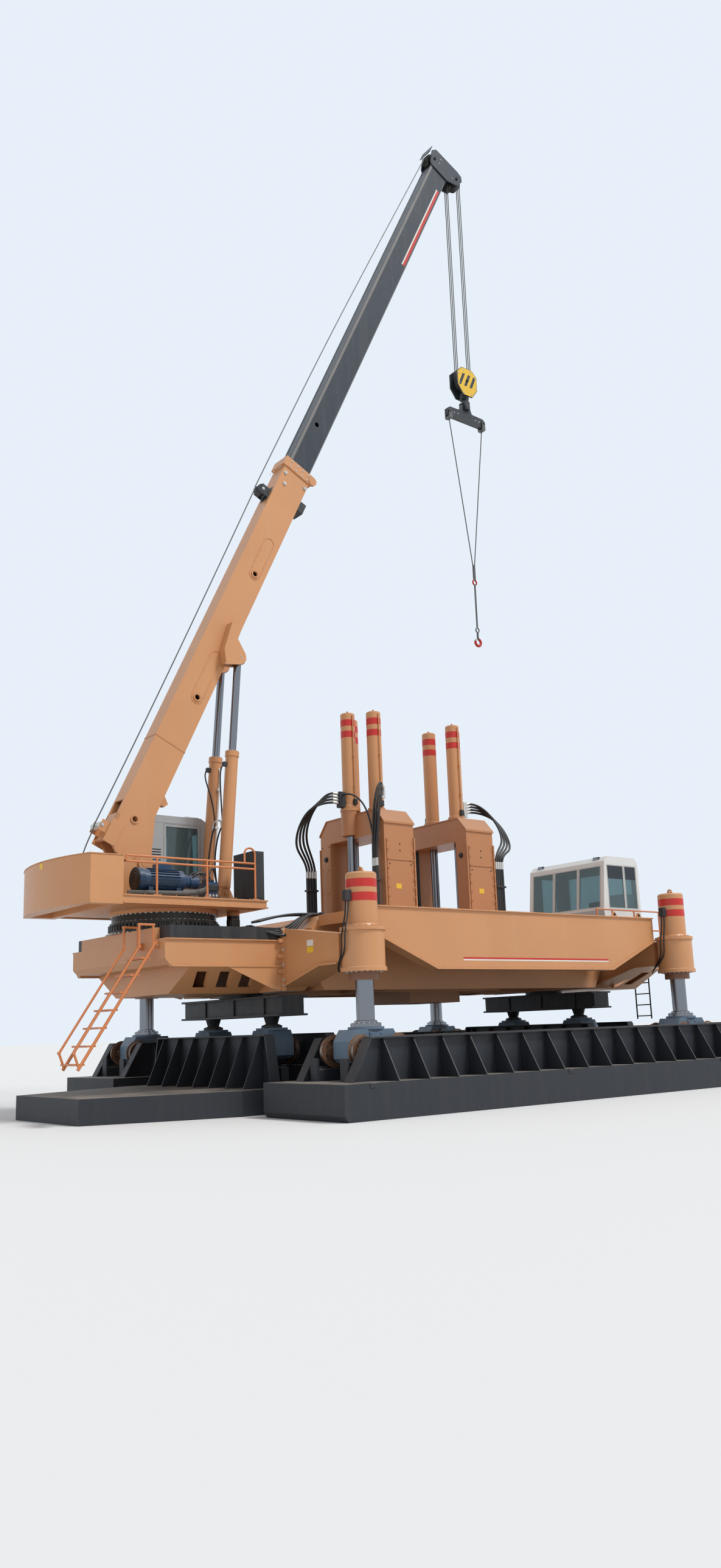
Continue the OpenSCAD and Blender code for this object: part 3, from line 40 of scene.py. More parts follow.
# The standpoint: a person's eye height in front of the rig's near left corner, looking
# up along the boom, with a pale floor and soft studio light.
yaw, pitch, roll = math.radians(51.672), math.radians(11.961), math.radians(-1.998)
picture_height, focal_pixels, film_height = 2576, 1893.8, 36
ahead = Vector((math.cos(yaw) * math.cos(pitch), math.sin(yaw) * math.cos(pitch), math.sin(pitch)))
level_right = Vector((math.sin(yaw), -math.cos(yaw), 0))
level_up = level_right.cross(ahead)
right = math.cos(roll) * level_right + math.sin(roll) * level_up
up = -math.sin(roll) * level_right + math.cos(roll) * level_up
bpy.ops.object.camera_add(location=(-16.046, -18.927, 1.357))
camera = bpy.context.object
camera.rotation_mode = "QUATERNION"
camera.rotation_quaternion = Matrix((right, up, -ahead)).transposed().to_quaternion()
camera.data.sensor_fit = "VERTICAL"
camera.data.sensor_height = film_height
camera.data.lens = film_height * focal_pixels / picture_height
camera.data.clip_end = 400
bpy.context.scene.camera = camera
bpy.context.scene.view_settings.view_transform = "Standard"

bpy.ops.mesh.primitive_plane_add(size=600, location=(0, 0, -0.004))
floor = bpy.context.object
floor.name = "floor"
ground = bpy.data.materials.new("pale_floor")
ground.use_nodes = True
ground.node_tree.nodes["Principled BSDF"].inputs["Base Color"].default_value = (0.74, 0.74, 0.73, 1)
ground.node_tree.nodes["Principled BSDF"].inputs["Roughness"].default_value = 0.9
floor.data.materials.append(ground)

studio = bpy.data.worlds.new("studio")
bpy.context.scene.world = studio
studio.use_nodes = True
sky, join = studio.node_tree.nodes, studio.node_tree.links.new
sky.clear()
rays = sky.new("ShaderNodeLightPath")
seen = rays.outputs["Is Camera Ray"]
for kind in ("Is Glossy Ray", "Is Transmission Ray"):
    either = sky.new("ShaderNodeMath")
    either.operation = "MAXIMUM"
    join(seen, either.inputs[0])
    join(rays.outputs[kind], either.inputs[1])
    seen = either.outputs[0]
pick = sky.new("ShaderNodeMixShader")
join(seen, pick.inputs[0])
for place, color, strength in ((1, (0.93, 0.96, 1.0, 1), 0.62), (2, (0.80, 0.87, 0.95, 1), 1.0)):
    glow = sky.new("ShaderNodeBackground")
    glow.inputs["Color"].default_value = color
    glow.inputs["Strength"].default_value = strength
    join(glow.outputs[0], pick.inputs[place])
join(pick.outputs[0], sky.new("ShaderNodeOutputWorld").inputs["Surface"])
bpy.ops.object.light_add(type="SUN")
lamp = bpy.context.object
lamp.data.energy = 2.1
lamp.data.angle = math.radians(14)
lamp.rotation_mode = "QUATERNION"
lamp.rotation_quaternion = Vector((0.30, -0.62, 0.95)).to_track_quat("Z", "Y")

# Painted plate work of the hull: tan-orange paint over welded heavy plate, with dust on
# what faces up, bare edges where the paint is knocked off, and faint rain streaks.
# The weathering is one group that every painted material uses.
def weathering():
    g = bpy.data.node_groups.new("plant_weathering", "ShaderNodeTree")
    for name, kind, value in (("Paint", "Color", (0.5, 0.3, 0.1, 1)),
            ("Chip Color", "Color", (0.2, 0.15, 0.1, 1)), ("Dust Color", "Color", (0.5, 0.45, 0.38, 1)),
            ("Chips", "Float", 0.5), ("Dust", "Float", 0.5), ("Streaks", "Float", 0.2),
            ("Roughness", "Float", 0.45)):
        socket = g.interface.new_socket(name=name, in_out="INPUT", socket_type="NodeSocket" + kind)
        socket.default_value = value
    for name, kind in (("Color", "Color"), ("Roughness", "Float"), ("Height", "Float"), ("Bare", "Float")):
        g.interface.new_socket(name=name, in_out="OUTPUT", socket_type="NodeSocket" + kind)
    link = g.links.new

    def node(kind, **settings):
        n = g.nodes.new("ShaderNode" + kind)
        for key, value in settings.items():
            setattr(n, key, value)
        return n

    given, result, where = g.nodes.new("NodeGroupInput"), g.nodes.new("NodeGroupOutput"), node("TexCoord")

    def noise(scale, detail, stretch=(1, 1, 1)):
        grain, place = node("TexNoise"), node("Mapping")
        grain.inputs["Scale"].default_value = scale
        grain.inputs["Detail"].default_value = detail
        place.inputs["Scale"].default_value = stretch
        link(where.outputs["Object"], place.inputs["Vector"])
        link(place.outputs[0], grain.inputs["Vector"])
        return grain.outputs["Fac"]

    def calc(operation, *terms, clamp=False):
        n = node("Math", operation=operation, use_clamp=clamp)
        for socket, term in zip(n.inputs, terms):
            if isinstance(term, float):
                socket.default_value = term
            else:
                link(term, socket)
        return n.outputs[0]

    def ramp(value, low, high):
        n = node("MapRange")
        n.inputs["From Min"].default_value = low
        n.inputs["From Max"].default_value = high
        link(value, n.inputs["Value"])
        return n.outputs["Result"]

    def mix(factor, a, b):
        n = node("Mix", data_type="RGBA")
        link(factor, n.inputs["Factor"])
        link(a, n.inputs["A"])
        link(b, n.inputs["B"])
        return n.outputs["Result"]

    bevel, shape = node("Bevel", samples=3), node("NewGeometry")
    dot = node("VectorMath", operation="DOT_PRODUCT")
    bevel.inputs["Radius"].default_value = 0.016
    link(bevel.outputs[0], dot.inputs[0])
    link(shape.outputs["Normal"], dot.inputs[1])
    edge = ramp(calc("SUBTRACT", 1.0, dot.outputs["Value"]), 0.01, 0.12)
    patch = ramp(noise(9, 8), 0.50, 0.62)
    bare = calc("MULTIPLY", calc("MULTIPLY", edge, patch), given.outputs["Chips"], clamp=True)
    facing = node("SeparateXYZ")
    link(shape.outputs["Normal"], facing.inputs[0])
    topface = ramp(facing.outputs["Z"], 0.45, 0.95)
    cloudy = calc("ADD", calc("MULTIPLY", ramp(noise(1.7, 6), 0.30, 0.72), 0.7), 0.3)
    lying = calc("MULTIPLY", calc("MULTIPLY", topface, cloudy), given.outputs["Dust"], clamp=True)
    streak = calc("MULTIPLY", ramp(noise(1.0, 5, (7, 7, 0.45)), 0.46, 0.76), given.outputs["Streaks"])
    haze = calc("MULTIPLY", streak, given.outputs["Dust"], clamp=True)
    tone = node("HueSaturation")
    link(given.outputs["Paint"], tone.inputs["Color"])
    link(calc("ADD", calc("MULTIPLY", noise(0.8, 5), 0.22), 0.89), tone.inputs["Value"])
    color = mix(haze, tone.outputs[0], given.outputs["Dust Color"])
    color = mix(lying, color, given.outputs["Dust Color"])
    link(mix(bare, color, given.outputs["Chip Color"]), result.inputs["Color"])
    rough = calc("ADD", given.outputs["Roughness"], calc("MULTIPLY", calc("ADD", lying, haze), 0.4))
    mottle = calc("MULTIPLY", calc("SUBTRACT", noise(14, 5), 0.5), 0.18)
    link(calc("ADD", rough, mottle, clamp=True), result.inputs["Roughness"])
    skin = calc("ADD", calc("MULTIPLY", noise(120, 3), 0.35), calc("MULTIPLY", noise(11, 3), 0.5))
    link(calc("SUBTRACT", skin, calc("MULTIPLY", bare, 0.8)), result.inputs["Height"])
    link(bare, result.inputs["Bare"])
    return g
weather = weathering()

def painted(name, paint, chip=(0.16, 0.10, 0.07), dust=(0.46, 0.40, 0.33), chips=0.5, dusty=0.5, rough=0.42,
            bump=0.08, metal=0.0, streaks=0.2):
    """Paint of one colour with its own wear, dust and gloss."""
    m = bpy.data.materials.new(name)
    m.use_nodes = True
    nodes, link = m.node_tree.nodes, m.node_tree.links.new
    shader, wear, relief = nodes["Principled BSDF"], nodes.new("ShaderNodeGroup"), nodes.new("ShaderNodeBump")
    wear.node_tree = weather
    for key, value in (("Paint", (*paint, 1)), ("Chip Color", (*chip, 1)), ("Dust Color", (*dust, 1)),
                       ("Chips", chips), ("Dust", dusty), ("Streaks", streaks), ("Roughness", rough)):
        wear.inputs[key].default_value = value
    relief.inputs["Strength"].default_value = bump
    relief.inputs["Distance"].default_value = 0.004
    link(wear.outputs["Color"], shader.inputs["Base Color"])
    link(wear.outputs["Roughness"], shader.inputs["Roughness"])
    link(wear.outputs["Height"], relief.inputs["Height"])
    link(relief.outputs[0], shader.inputs["Normal"])
    shader.inputs["Metallic"].default_value = metal
    return m

def dress(material, *nodes):
    for n in nodes:
        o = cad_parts[n]
        if not o.material_slots:
            o.data.materials.append(material)
        for s in o.material_slots:
            s.material = material

tan = painted("tan_paint", (0.585, 0.275, 0.118), chip=(0.20, 0.10, 0.06), chips=0.45, dusty=0.32, rough=0.40)
dress(tan, "hull_box", "deck_wings", "fascia_beams", "leg_arms", "crane_module", "cab_module")
black = painted("black_steel", (0.016, 0.018, 0.021), chip=(0.12, 0.08, 0.06), dusty=0.34, rough=0.5)
dress(black, "deck_tanks", "guide_strips")

def done(name, body, material):
    """The active piece gets its place applied, its name, finish and body."""
    o = bpy.context.object
    bpy.ops.object.transform_apply()
    o.name = name
    o.data.materials.clear()
    o.data.materials.append(material)
    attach(o, body)
    o.select_set(False)
    return o

def cube(centre, size):
    """A plain box, to be worked on before it is done."""
    bpy.ops.mesh.primitive_cube_add(size=1, location=centre, scale=size)
    bpy.ops.object.transform_apply()
    return bpy.context.object

def worked(kind, **settings):
    """The active piece with a modifier applied to its mesh."""
    change = bpy.context.object.modifiers.new("change", kind)
    for key, value in settings.items():
        setattr(change, key, value)
    bpy.ops.object.modifier_apply(modifier="change")

def slab(name, body, material, slot, low, high, round_by=0.004):
    """A plate or small box with softened edges."""
    low, high = Vector(low), Vector(high)
    cube((low + high) / 2, high - low)
    worked("BEVEL", width=min(round_by, min(high - low) * 0.3), segments=2)
    return done(name, body, material)

def slabs(body, material, slot, *rows):
    """Several of one finish: name, low corner, high corner, edge radius."""
    for name, low, high, round_by in rows:
        slab(name, body, material, slot, low, high, round_by)

def bolts(name, body, material, places, size=0.016):
    """Hexagon heads on washers, at (point, outward direction)."""
    bpy.ops.mesh.primitive_cylinder_add(vertices=12, radius=size * 1.35, depth=size * 0.25,
        location=(0, 0, size * 0.1))
    washer = bpy.context.object
    bpy.ops.mesh.primitive_cylinder_add(vertices=6, radius=size, depth=size * 0.75,
        location=(0, 0, size * 0.55))
    head = bpy.context.object
    bpy.ops.object.transform_apply()
    bpy.ops.object.mode_set(mode="EDIT")
    bpy.ops.mesh.select_all(action="DESELECT")
    bm = bmesh.from_edit_mesh(head.data)
    for e in bm.edges:
        e.select = all(v.co.z > size * 0.8 for v in e.verts)
    bmesh.update_edit_mesh(head.data)
    bpy.ops.mesh.bevel(offset=size * 0.14, segments=1)
    bpy.ops.object.mode_set(mode="OBJECT")
    washer.select_set(True)
    bpy.ops.object.join()
    one = bpy.context.object
    bpy.ops.object.transform_apply()
    pattern = one.data.copy()
    bm = bmesh.new()
    for point, outward in places:
        turn = Vector(outward).to_track_quat("Z", "Y").to_matrix().to_4x4()
        part = pattern.copy()
        part.transform(Matrix.Translation(Vector(point)) @ turn)
        bm.from_mesh(part)
        bpy.data.meshes.remove(part)
    bm.to_mesh(one.data)
    bm.free()
    return done(name, body, material)

def ring(count, radius, centre=(0, 0, 0), shift=0.0, a=(1, 0, 0), b=(0, 1, 0)):
    """Points round a circle in the plane of a and b."""
    turns = [math.tau * (k + shift) / count for k in range(count)]
    return [Vector(centre) + (Vector(a) * math.cos(t) + Vector(b) * math.sin(t)) * radius for t in turns]

zinc = painted("zinc_fittings", (0.60, 0.60, 0.57), chip=(0.25, 0.16, 0.10), dusty=0.25, rough=0.35,
               metal=0.5)
red = painted("red_paint", (0.55, 0.022, 0.016), chips=0.2, dusty=0.2, rough=0.4)
white_line = painted("white_line", (0.75, 0.72, 0.66), chips=0.2, dusty=0.2)
yellow = painted("yellow_paint", (0.80, 0.50, 0.03), chips=0.1, dusty=0.15)
fascia_y = 3.6
for side, tag in ((-1, "near"), (1, "far")):
    row = [((-3.45 + k * 0.8625, side * (fascia_y - 0.04), 3.41), (0, 0, 1)) for k in range(9)]
    bolts("fascia_bolts_" + tag, "hull", zinc, row, 0.014)
    # thin painted lines under the bare field of the fascia
    for line, paint, z0, z1 in (("red", red, 2.515, 2.548), ("white", white_line, 2.488, 2.513)):
        slab("fascia_%s_line_%s" % (line, tag), "hull", paint, "tan_paint",
             (-1.71, side * fascia_y - 0.0012, z0), (2.25, side * fascia_y + 0.0012, z1), 0.0003)
for k, (paint, z) in enumerate(((white_line, 2.828), (yellow, 2.713))):
    slab("arm_plate_blank_%d" % k, "hull", paint, "tan_paint",
         (-4.403, -2.73, z - 0.052), (-4.4, -2.55, z + 0.052), 0.001)
joint = [((s * 4.44, t * 1.868, z), (s, 0, 0)) for s in (-1, 1) for t in (-1, 1)
         for z in (2.14, 2.24, 2.5, 2.77, 3.03, 3.12)]
bolts("joint_plate_bolts", "hull", zinc, joint, 0.022)

# The four leg jacks: thick tubes with a bolted lower sleeve, two red bands under the cap,
# and a manifold on the side that feeds the cylinder. Their rods are chromed.
def filmed(name, values, low, high, scale=5.0, detail=2.0, stretch=(1, 1, 1)):
    """A polished or clear surface under a faint film, its roughness between low and high."""
    m = bpy.data.materials.new(name)
    m.use_nodes = True
    nodes, link = m.node_tree.nodes, m.node_tree.links.new
    shader = nodes["Principled BSDF"]
    for key, value in values.items():
        shader.inputs[key].default_value = value
    where, place = nodes.new("ShaderNodeTexCoord"), nodes.new("ShaderNodeMapping")
    film, oily = nodes.new("ShaderNodeTexNoise"), nodes.new("ShaderNodeMapRange")
    place.inputs["Scale"].default_value = stretch
    film.inputs["Scale"].default_value = scale
    film.inputs["Detail"].default_value = detail
    oily.inputs["To Min"].default_value = low
    oily.inputs["To Max"].default_value = high
    link(where.outputs["Object"], place.inputs["Vector"])
    link(place.outputs[0], film.inputs["Vector"])
    link(film.outputs["Fac"], oily.inputs["Value"])
    link(oily.outputs["Result"], shader.inputs["Roughness"])
    return m
chrome = filmed("chrome_rod", {"Base Color": (0.23, 0.24, 0.26, 1), "Metallic": 1.0}, 0.10, 0.30,
                stretch=(30, 30, 2.0))
dress(tan, "leg_cylinders")
dress(chrome, "near_legs", "far_legs", "press_rods", "luff_rods")

def sleeve(name, body, material, centre, radius, depth, thickness, axis=(0, 0, 1)):
    """A thin ring round a shaft, made from an open tube."""
    turn = Vector(axis).to_track_quat("Z", "Y")
    bpy.ops.mesh.primitive_cylinder_add(vertices=64, radius=radius, depth=depth, end_fill_type="NOTHING",
                                        location=centre, rotation=turn.to_euler())
    bpy.ops.object.transform_apply()
    worked("SOLIDIFY", thickness=thickness)
    bpy.ops.object.shade_smooth_by_angle(angle=math.radians(40))
    return done(name, body, material)

def band(name, body, material, centre, radius, z0, z1):
    """A painted ring round an upright cylinder, 1.5 mm proud."""
    middle = Vector(centre) + Vector((0, 0, (z0 + z1) / 2))
    return sleeve(name, body, material, middle, radius + 0.0015, z1 - z0, 0.002)

def hoses(name, body, material, runs, radius):
    """Round hoses or pipes, each through its own points."""
    data = bpy.data.curves.new(name, "CURVE")
    data.dimensions = "3D"
    data.bevel_depth = radius
    data.bevel_resolution = 3
    data.use_fill_caps = True
    data.resolution_u = 6
    for run in runs:
        s = data.splines.new("NURBS")
        s.points.add(len(run) - 1)
        for p, c in zip(s.points, run):
            p.co = (*c, 1)
        s.order_u = 3 if len(run) < 4 else 4
        s.use_endpoint_u = True
    o = bpy.data.objects.new(name, data)
    bpy.context.collection.objects.link(o)
    bpy.ops.object.select_all(action="DESELECT")
    o.select_set(True)
    bpy.context.view_layer.objects.active = o
    bpy.ops.object.convert(target="MESH")
    return done(name, body, material)

rubber = painted("hose_rubber", (0.010, 0.010, 0.011), chips=0.0, dusty=0.30, rough=0.55, bump=0.03)
brown = painted("gland_brown", (0.20, 0.085, 0.045), chip=(0.10, 0.06, 0.04), dust=(0.25, 0.18, 0.13),
                chips=0.6, dusty=0.5, rough=0.45)
leg_x, leg_y, leg_r = 4.15, 3.8, 0.262
sleeve_top, sleeve_foot = 3.006, 2.27
sleeve_bolts, gland_bolts = [], []
for sx, sy, tag in ((-1, -1, "near_left"), (1, -1, "near_right"), (-1, 1, "far_left"), (1, 1, "far_right")):
    c = Vector((sx * leg_x, sy * leg_y, 0))
    for k, (z0, z1) in enumerate(((3.425, 3.565), (3.655, 3.795))):
        band("leg_band_%s_%d" % (tag, k), "hull", red, c, leg_r, z0, z1)
    band("leg_gland_" + tag, "hull", brown, c, 0.250, 2.137, 2.269)
    sleeve_bolts += [(p, (0, 0, 1)) for p in ring(20, 0.315, (c.x, c.y, sleeve_top), 0.5)]
    gland_bolts += [(p, (0, 0, -1)) for p in ring(20, 0.30, (c.x, c.y, sleeve_foot), 0.5)]
    # manifold block on the outward-left side, with two pipes down to the sleeve
    m = c + Vector((-leg_r, 0, 3.52))
    slab("leg_manifold_" + tag, "hull", black, "black_paint",
         m + Vector((-0.10, -0.06, -0.09)), m + Vector((0.012, 0.06, 0.09)), 0.008)
    pipes = []
    for dy in (-0.035, 0.035):
        down = ((-0.05, dy, -0.08), (-0.06, dy, -0.3), (-0.12, dy, -0.5), (-0.16, dy * 1.4, -0.72),
                (-0.14, dy, -0.95), (-0.03, -sy * 0.35, -1.15))
        pipes.append([m + Vector(p) for p in down] + [(c.x - 0.1, c.y - sy * 0.55, 2.30)])
    hoses("leg_pipes_" + tag, "hull", rubber, pipes, 0.014)
bolts("leg_sleeve_bolts", "hull", tan, sleeve_bolts, 0.017)
bolts("leg_gland_bolts", "hull", zinc, gland_bolts, 0.015)

# The press: two portal frames of thick plate carry six long cylinders, with the clamping
# box between them. Oil hoses loop from the cylinders down to pipes on the deck.
press_tan = painted("press_paint", (0.47, 0.205, 0.085), chip=(0.13, 0.07, 0.05), dust=(0.30, 0.22, 0.16),
    chips=0.6, dusty=0.42, rough=0.38)
dress(press_tan, "portal_frames", "clamp_box", "clamp_wings")
dress(tan, "press_cylinders")
press_x = 0.15
flange_bolts = []
for k, (dx, y) in enumerate(((-1.14, -0.4), (-1.14, 0.4), (1.14, -0.4), (1.14, 0.4), (-1.53, 0), (1.53, 0))):
    x = press_x + dx
    for j, (z0, z1) in enumerate(((7.43, 7.57), (7.68, 7.82))):
        band("press_band_%d_%d" % (k, j), "hull", red, (x, y, 0), 0.155, z0, z1)
    foot = 5.764 if k < 4 else 5.83
    for p in ring(12, 0.197, (x, y, foot + 0.06), 0.5):
        if k < 4 or (p.x - x) * dx >= 0:
            flange_bolts.append((p, (0, 0, 1)))
    # a steel pipe up the side with two clips, from a block at the foot
    out = Vector((0, -1 if y <= 0 else 1, 0))
    beside = Vector((x, y, 0)) + out * 0.182
    climb = [beside + Vector((0, 0, z)) for z in (foot + 0.22, 6.6, 7.3, 7.85, 7.91)]
    hoses("press_pipe_%d" % k, "hull", tan, [climb + [Vector((x, y, 7.91)) + out * 0.15]], 0.013)
    for j, z in enumerate((6.35, 7.0)):
        slab("press_pipe_clip_%d_%d" % (k, j), "hull", tan, "tan_paint",
             beside + Vector((-0.022, -0.02, z)), beside + Vector((0.022, 0.02, z + 0.035)))
    slab("press_port_%d" % k, "hull", black, "black_paint",
         beside + Vector((-0.04, -0.035, foot + 0.13)), beside + Vector((0.04, 0.035, foot + 0.25)), 0.006)
bolts("press_flange_bolts", "hull", tan, flange_bolts, 0.013)
panel_bolts = []
for sx in (-1, 1):
    for sy in (-1, 1):
        for x in (press_x + sx * 0.80, press_x + sx * 1.48):
            panel_bolts += [((x, sy * 1.139, 3.55 + 0.19 * i), (0, sy, 0)) for i in range(9)]
        for z in (3.7, 4.2, 4.7, 5.2):
            panel_bolts += [((press_x + sx * 1.53, sy * y, z), (sx, 0, 0)) for y in (0.82, 1.04)]
bolts("portal_panel_bolts", "hull", press_tan, panel_bolts, 0.016)
for k, x in enumerate((-1.054, 1.26)):
    slab("portal_blank_%d" % k, "hull", yellow, "press_paint", (x - 0.07, -1.108, 4.098),
         (x + 0.07, -1.1045, 4.2), 0.001)
# bolted cover plates on the columns, and a plug in each column's left face
cover_bolts = []
for k, mid in enumerate((-0.99, 1.29)):
    for side, tag in ((-1, "near"), (1, "far")):
        for j, (z0, z1) in enumerate(((3.43, 4.66), (4.68, 5.12))):
            y0, y1 = sorted((side * 1.09, side * 1.1045))
            slab("portal_cover_%s_%d_%d" % (tag, k, j), "hull", press_tan, "press_paint",
                 (mid - 0.345, y0, z0), (mid + 0.345, y1, z1), 0.005)
        cover_bolts += [((mid + dx, side * 1.1045, z), (0, side, 0)) for dx, z in
                        ((0.0, 5.02), (0.0, 4.88), (-0.28, 4.6), (0.28, 4.6), (-0.28, 3.5), (0.28, 3.5))]
bolts("portal_cover_bolts", "hull", black, cover_bolts, 0.012)
plugs = [((-1.38, 0.90, 4.93), (-1, 0, 0)), ((0.90, -0.90, 4.93), (-1, 0, 0))]
bolts("portal_plugs", "hull", black, plugs, 0.045)
# two tapered lifting lugs on the deck's edge
lug_y = -3.50
for k, x in enumerate((2.65, 3.42)):
    cube((x, lug_y, 3.455), (0.22, 0.03, 0.13))
    bpy.ops.object.mode_set(mode="EDIT")
    bm = bmesh.from_edit_mesh(bpy.context.object.data)
    for v in bm.verts:
        if v.co.z > 3.46:
            v.co.x = x + (v.co.x - x) * 0.25
    bmesh.update_edit_mesh(bpy.context.object.data)
    bpy.ops.mesh.select_all(action="SELECT")
    bpy.ops.mesh.bevel(offset=0.005, segments=1)
    bpy.ops.object.mode_set(mode="OBJECT")
    done("deck_lug_%d" % k, "hull", tan)
    eyes = [((x, lug_y + s * 0.0155, 3.465), (0, s, 0)) for s in (-1, 1)]
    bolts("deck_lug_eye_%d" % k, "hull", black, eyes, 0.022)

def bundle(name, count, start, out, way, foot, spread, deck_z=3.39, radius=0.025):
    """Hoses from a block down to steel pipes, with a crimped fitting at each end."""
    out, foot, spread = Vector(out).normalized(), Vector(foot), Vector(spread)
    z = Vector((0, 0, 1))
    runs, fittings, pipes = [], [], []
    for i in range(count):
        a, b = Vector(start) - z * 0.066 * i, foot + spread * i
        loop = [Vector(w) + spread * i * 1.3 - z * 0.06 * i for w in way]
        runs.append([a, a + out * 0.14] + loop + [b + z * 0.3, b])
        fittings += [[a - out * 0.03, a + out * 0.03, a + out * 0.10], [b + z * 0.10, b, b - z * 0.06]]
        pipes.append([b, Vector((b.x, b.y, (b.z + deck_z) / 2)), Vector((b.x, b.y, deck_z))])
    hoses("press_hoses_" + name, "hull", rubber, runs, radius)
    hoses("press_fittings_" + name, "hull", zinc, fittings, radius * 1.3)
    hoses("press_risers_" + name, "hull", black, pipes, radius * 1.2)
    c = foot + spread * (count - 1) / 2
    half = Vector((0.05, 0.05, 0)) + Vector([abs(v) for v in spread]) * (count - 1) / 2
    for j, z0 in enumerate((3.55, 4.25)):
        slab("press_riser_clamp_%s_%d" % (name, j), "hull", black, "black_paint",
             (c.x - half.x, c.y - half.y, z0), (c.x + half.x, c.y + half.y, z0 + 0.04), 0.006)
slab("press_block_left", "hull", black, "black_paint", (-1.70, -0.065, 5.90), (-1.545, 0.065, 6.24), 0.012)
bundle("left", 4, (-1.71, 0.02, 6.20), (-0.9, 0.25, 0.12),
       [(-1.97, 0.16, 6.14), (-2.12, 0.45, 5.78), (-2.02, 0.85, 5.25)], (-1.56, 1.08, 4.60),
       (-0.061, 0.012, 0))
slab("press_block_middle", "hull", zinc, "steel_paint", (-1.035, -0.655, 6.05), (-0.945, -0.575, 6.32), 0.008)
bundle("middle", 3, (-1.03, -0.665, 6.28), (-0.5, -0.45, 0.5),
       [(-1.22, -0.80, 6.36), (-1.42, -0.87, 6.0), (-1.50, -0.88, 5.3)], (-1.50, -0.86, 4.62), (0, -0.058, 0))
slab("press_block_right", "hull", zinc, "steel_paint", (1.845, -0.065, 5.98), (1.955, 0.055, 6.34), 0.008)
bundle("right", 4, (1.97, -0.02, 6.30), (0.95, -0.1, 0.2),
       [(2.30, -0.18, 6.27), (2.46, -0.52, 5.80), (2.27, -0.88, 5.25)], (1.78, -1.05, 4.72),
       (0.058, -0.006, 0))
hoses("press_cross_hose", "hull", rubber,
      [[(-1.62, -0.06, 6.16), (-1.60, -0.2, 6.19), (-1.52, -0.45, 6.1),
        (-1.44, -0.72, 5.7), (-1.45, -0.84, 5.1), (-1.46, -0.90, 4.62)]], 0.019)
slab("deck_box_left", "hull", black, "black_paint", (-2.26, -0.20, 3.3905), (-1.72, 0.25, 3.56), 0.008)

# The two long pontoons: welded charcoal boxes with a channel of slanted walls and
# triangular gussets, where the wheels of the leg carriages run on crane rails.
# Dust and dried mud lie on every flat top.
charcoal = painted("charcoal_paint", (0.017, 0.020, 0.026), chip=(0.20, 0.11, 0.07),
    dust=(0.33, 0.29, 0.24), chips=0.5, dusty=0.7, rough=0.55, bump=0.10, streaks=0.03)
dress(charcoal, "near_pontoon", "far_pontoon")
gauge_half, clip_out, rail_polish = 0.4, 0.054, 0.020
rail_top, rail_foot = 0.777, 0.731
for side, tag in ((-1, "near"), (1, "far")):
    body = tag + "_pontoon"
    # bright strip worn on the rail heads, with clips that hold the rail down
    for r, y in enumerate((side * leg_y - gauge_half, side * leg_y + gauge_half)):
        slab("rail_polish_%s_%d" % (tag, r), body, chrome, "steel_paint",
             (-4.88, y - rail_polish, rail_top - 0.0005), (8.48, y + rail_polish, rail_top + 0.0005), 0.0002)
        clips = [((-4.70 + 0.30 * k, y + d, rail_foot), (0, 0, 1)) for k in range(44)
                 for d in (-clip_out, clip_out)]
        bolts("rail_clips_%s_%d" % (tag, r), body, charcoal, clips, 0.012)
    # lifting eyes along the base's edge
    for k in range(4):
        x = -4.9 + 4.4 * k
        slab("pontoon_eye_%s_%d" % (tag, k), body, charcoal, "steel_paint",
             (x - 0.07, side * 4.893 - 0.012, 0.47), (x + 0.07, side * 4.893 + 0.012, 0.545), 0.01)

# The carriages under the legs: blue-grey cast frames, each with four flanged wheels.
# The wheels are bare rusty steel, polished where they roll.
bogie = painted("bogie_paint", (0.115, 0.175, 0.245), chip=(0.22, 0.12, 0.07), dust=(0.36, 0.31, 0.26),
                chips=0.7, dusty=0.6, rough=0.5)
dress(bogie, "near_carriages", "far_carriages", "left_carriages", "right_carriages")
rust = painted("rusty_wheel", (0.155, 0.075, 0.040), chip=(0.36, 0.34, 0.32), dust=(0.30, 0.22, 0.16),
               chips=0.9, dusty=0.55, rough=0.62, bump=0.25, metal=0.35)
worn_steel = painted("worn_steel", (0.34, 0.31, 0.28), chip=(0.2, 0.12, 0.08), dust=(0.25, 0.2, 0.16),
    chips=0.5, dusty=0.3, rough=0.34, metal=0.9)
axles = [s + "_axle_" + k for s in ("near", "far") for k in "abcd"]
axles += [s + "_axle_" + k for s in ("left", "right") for k in "ab"]
dress(rust, *axles)
for body in axles:
    low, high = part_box(body)
    mid = (Vector(low) + Vector(high)) / 2
    across = Vector((0, 1, 0)) if body.startswith(("near", "far")) else Vector((1, 0, 0))
    along = across.cross(Vector((0, 0, 1)))
    for s, tag in ((-1, "in"), (1, "out")):
        sleeve("tread_%s_%s" % (body, tag), body, worn_steel,
               mid + across * s * 0.404, 0.2306, 0.056, 0.0008, across)
        hub = mid + across * s * 0.480
        points = [(along * math.cos(a) + Vector((0, 0, 1)) * math.sin(a)) * 0.032 for a in (0.5, 2.6, 4.7)]
        spots = [(hub + p, across * s) for p in points]
        bolts("axle_cap_bolts_%s_%s" % (body, tag), body, rust, spots, 0.009)
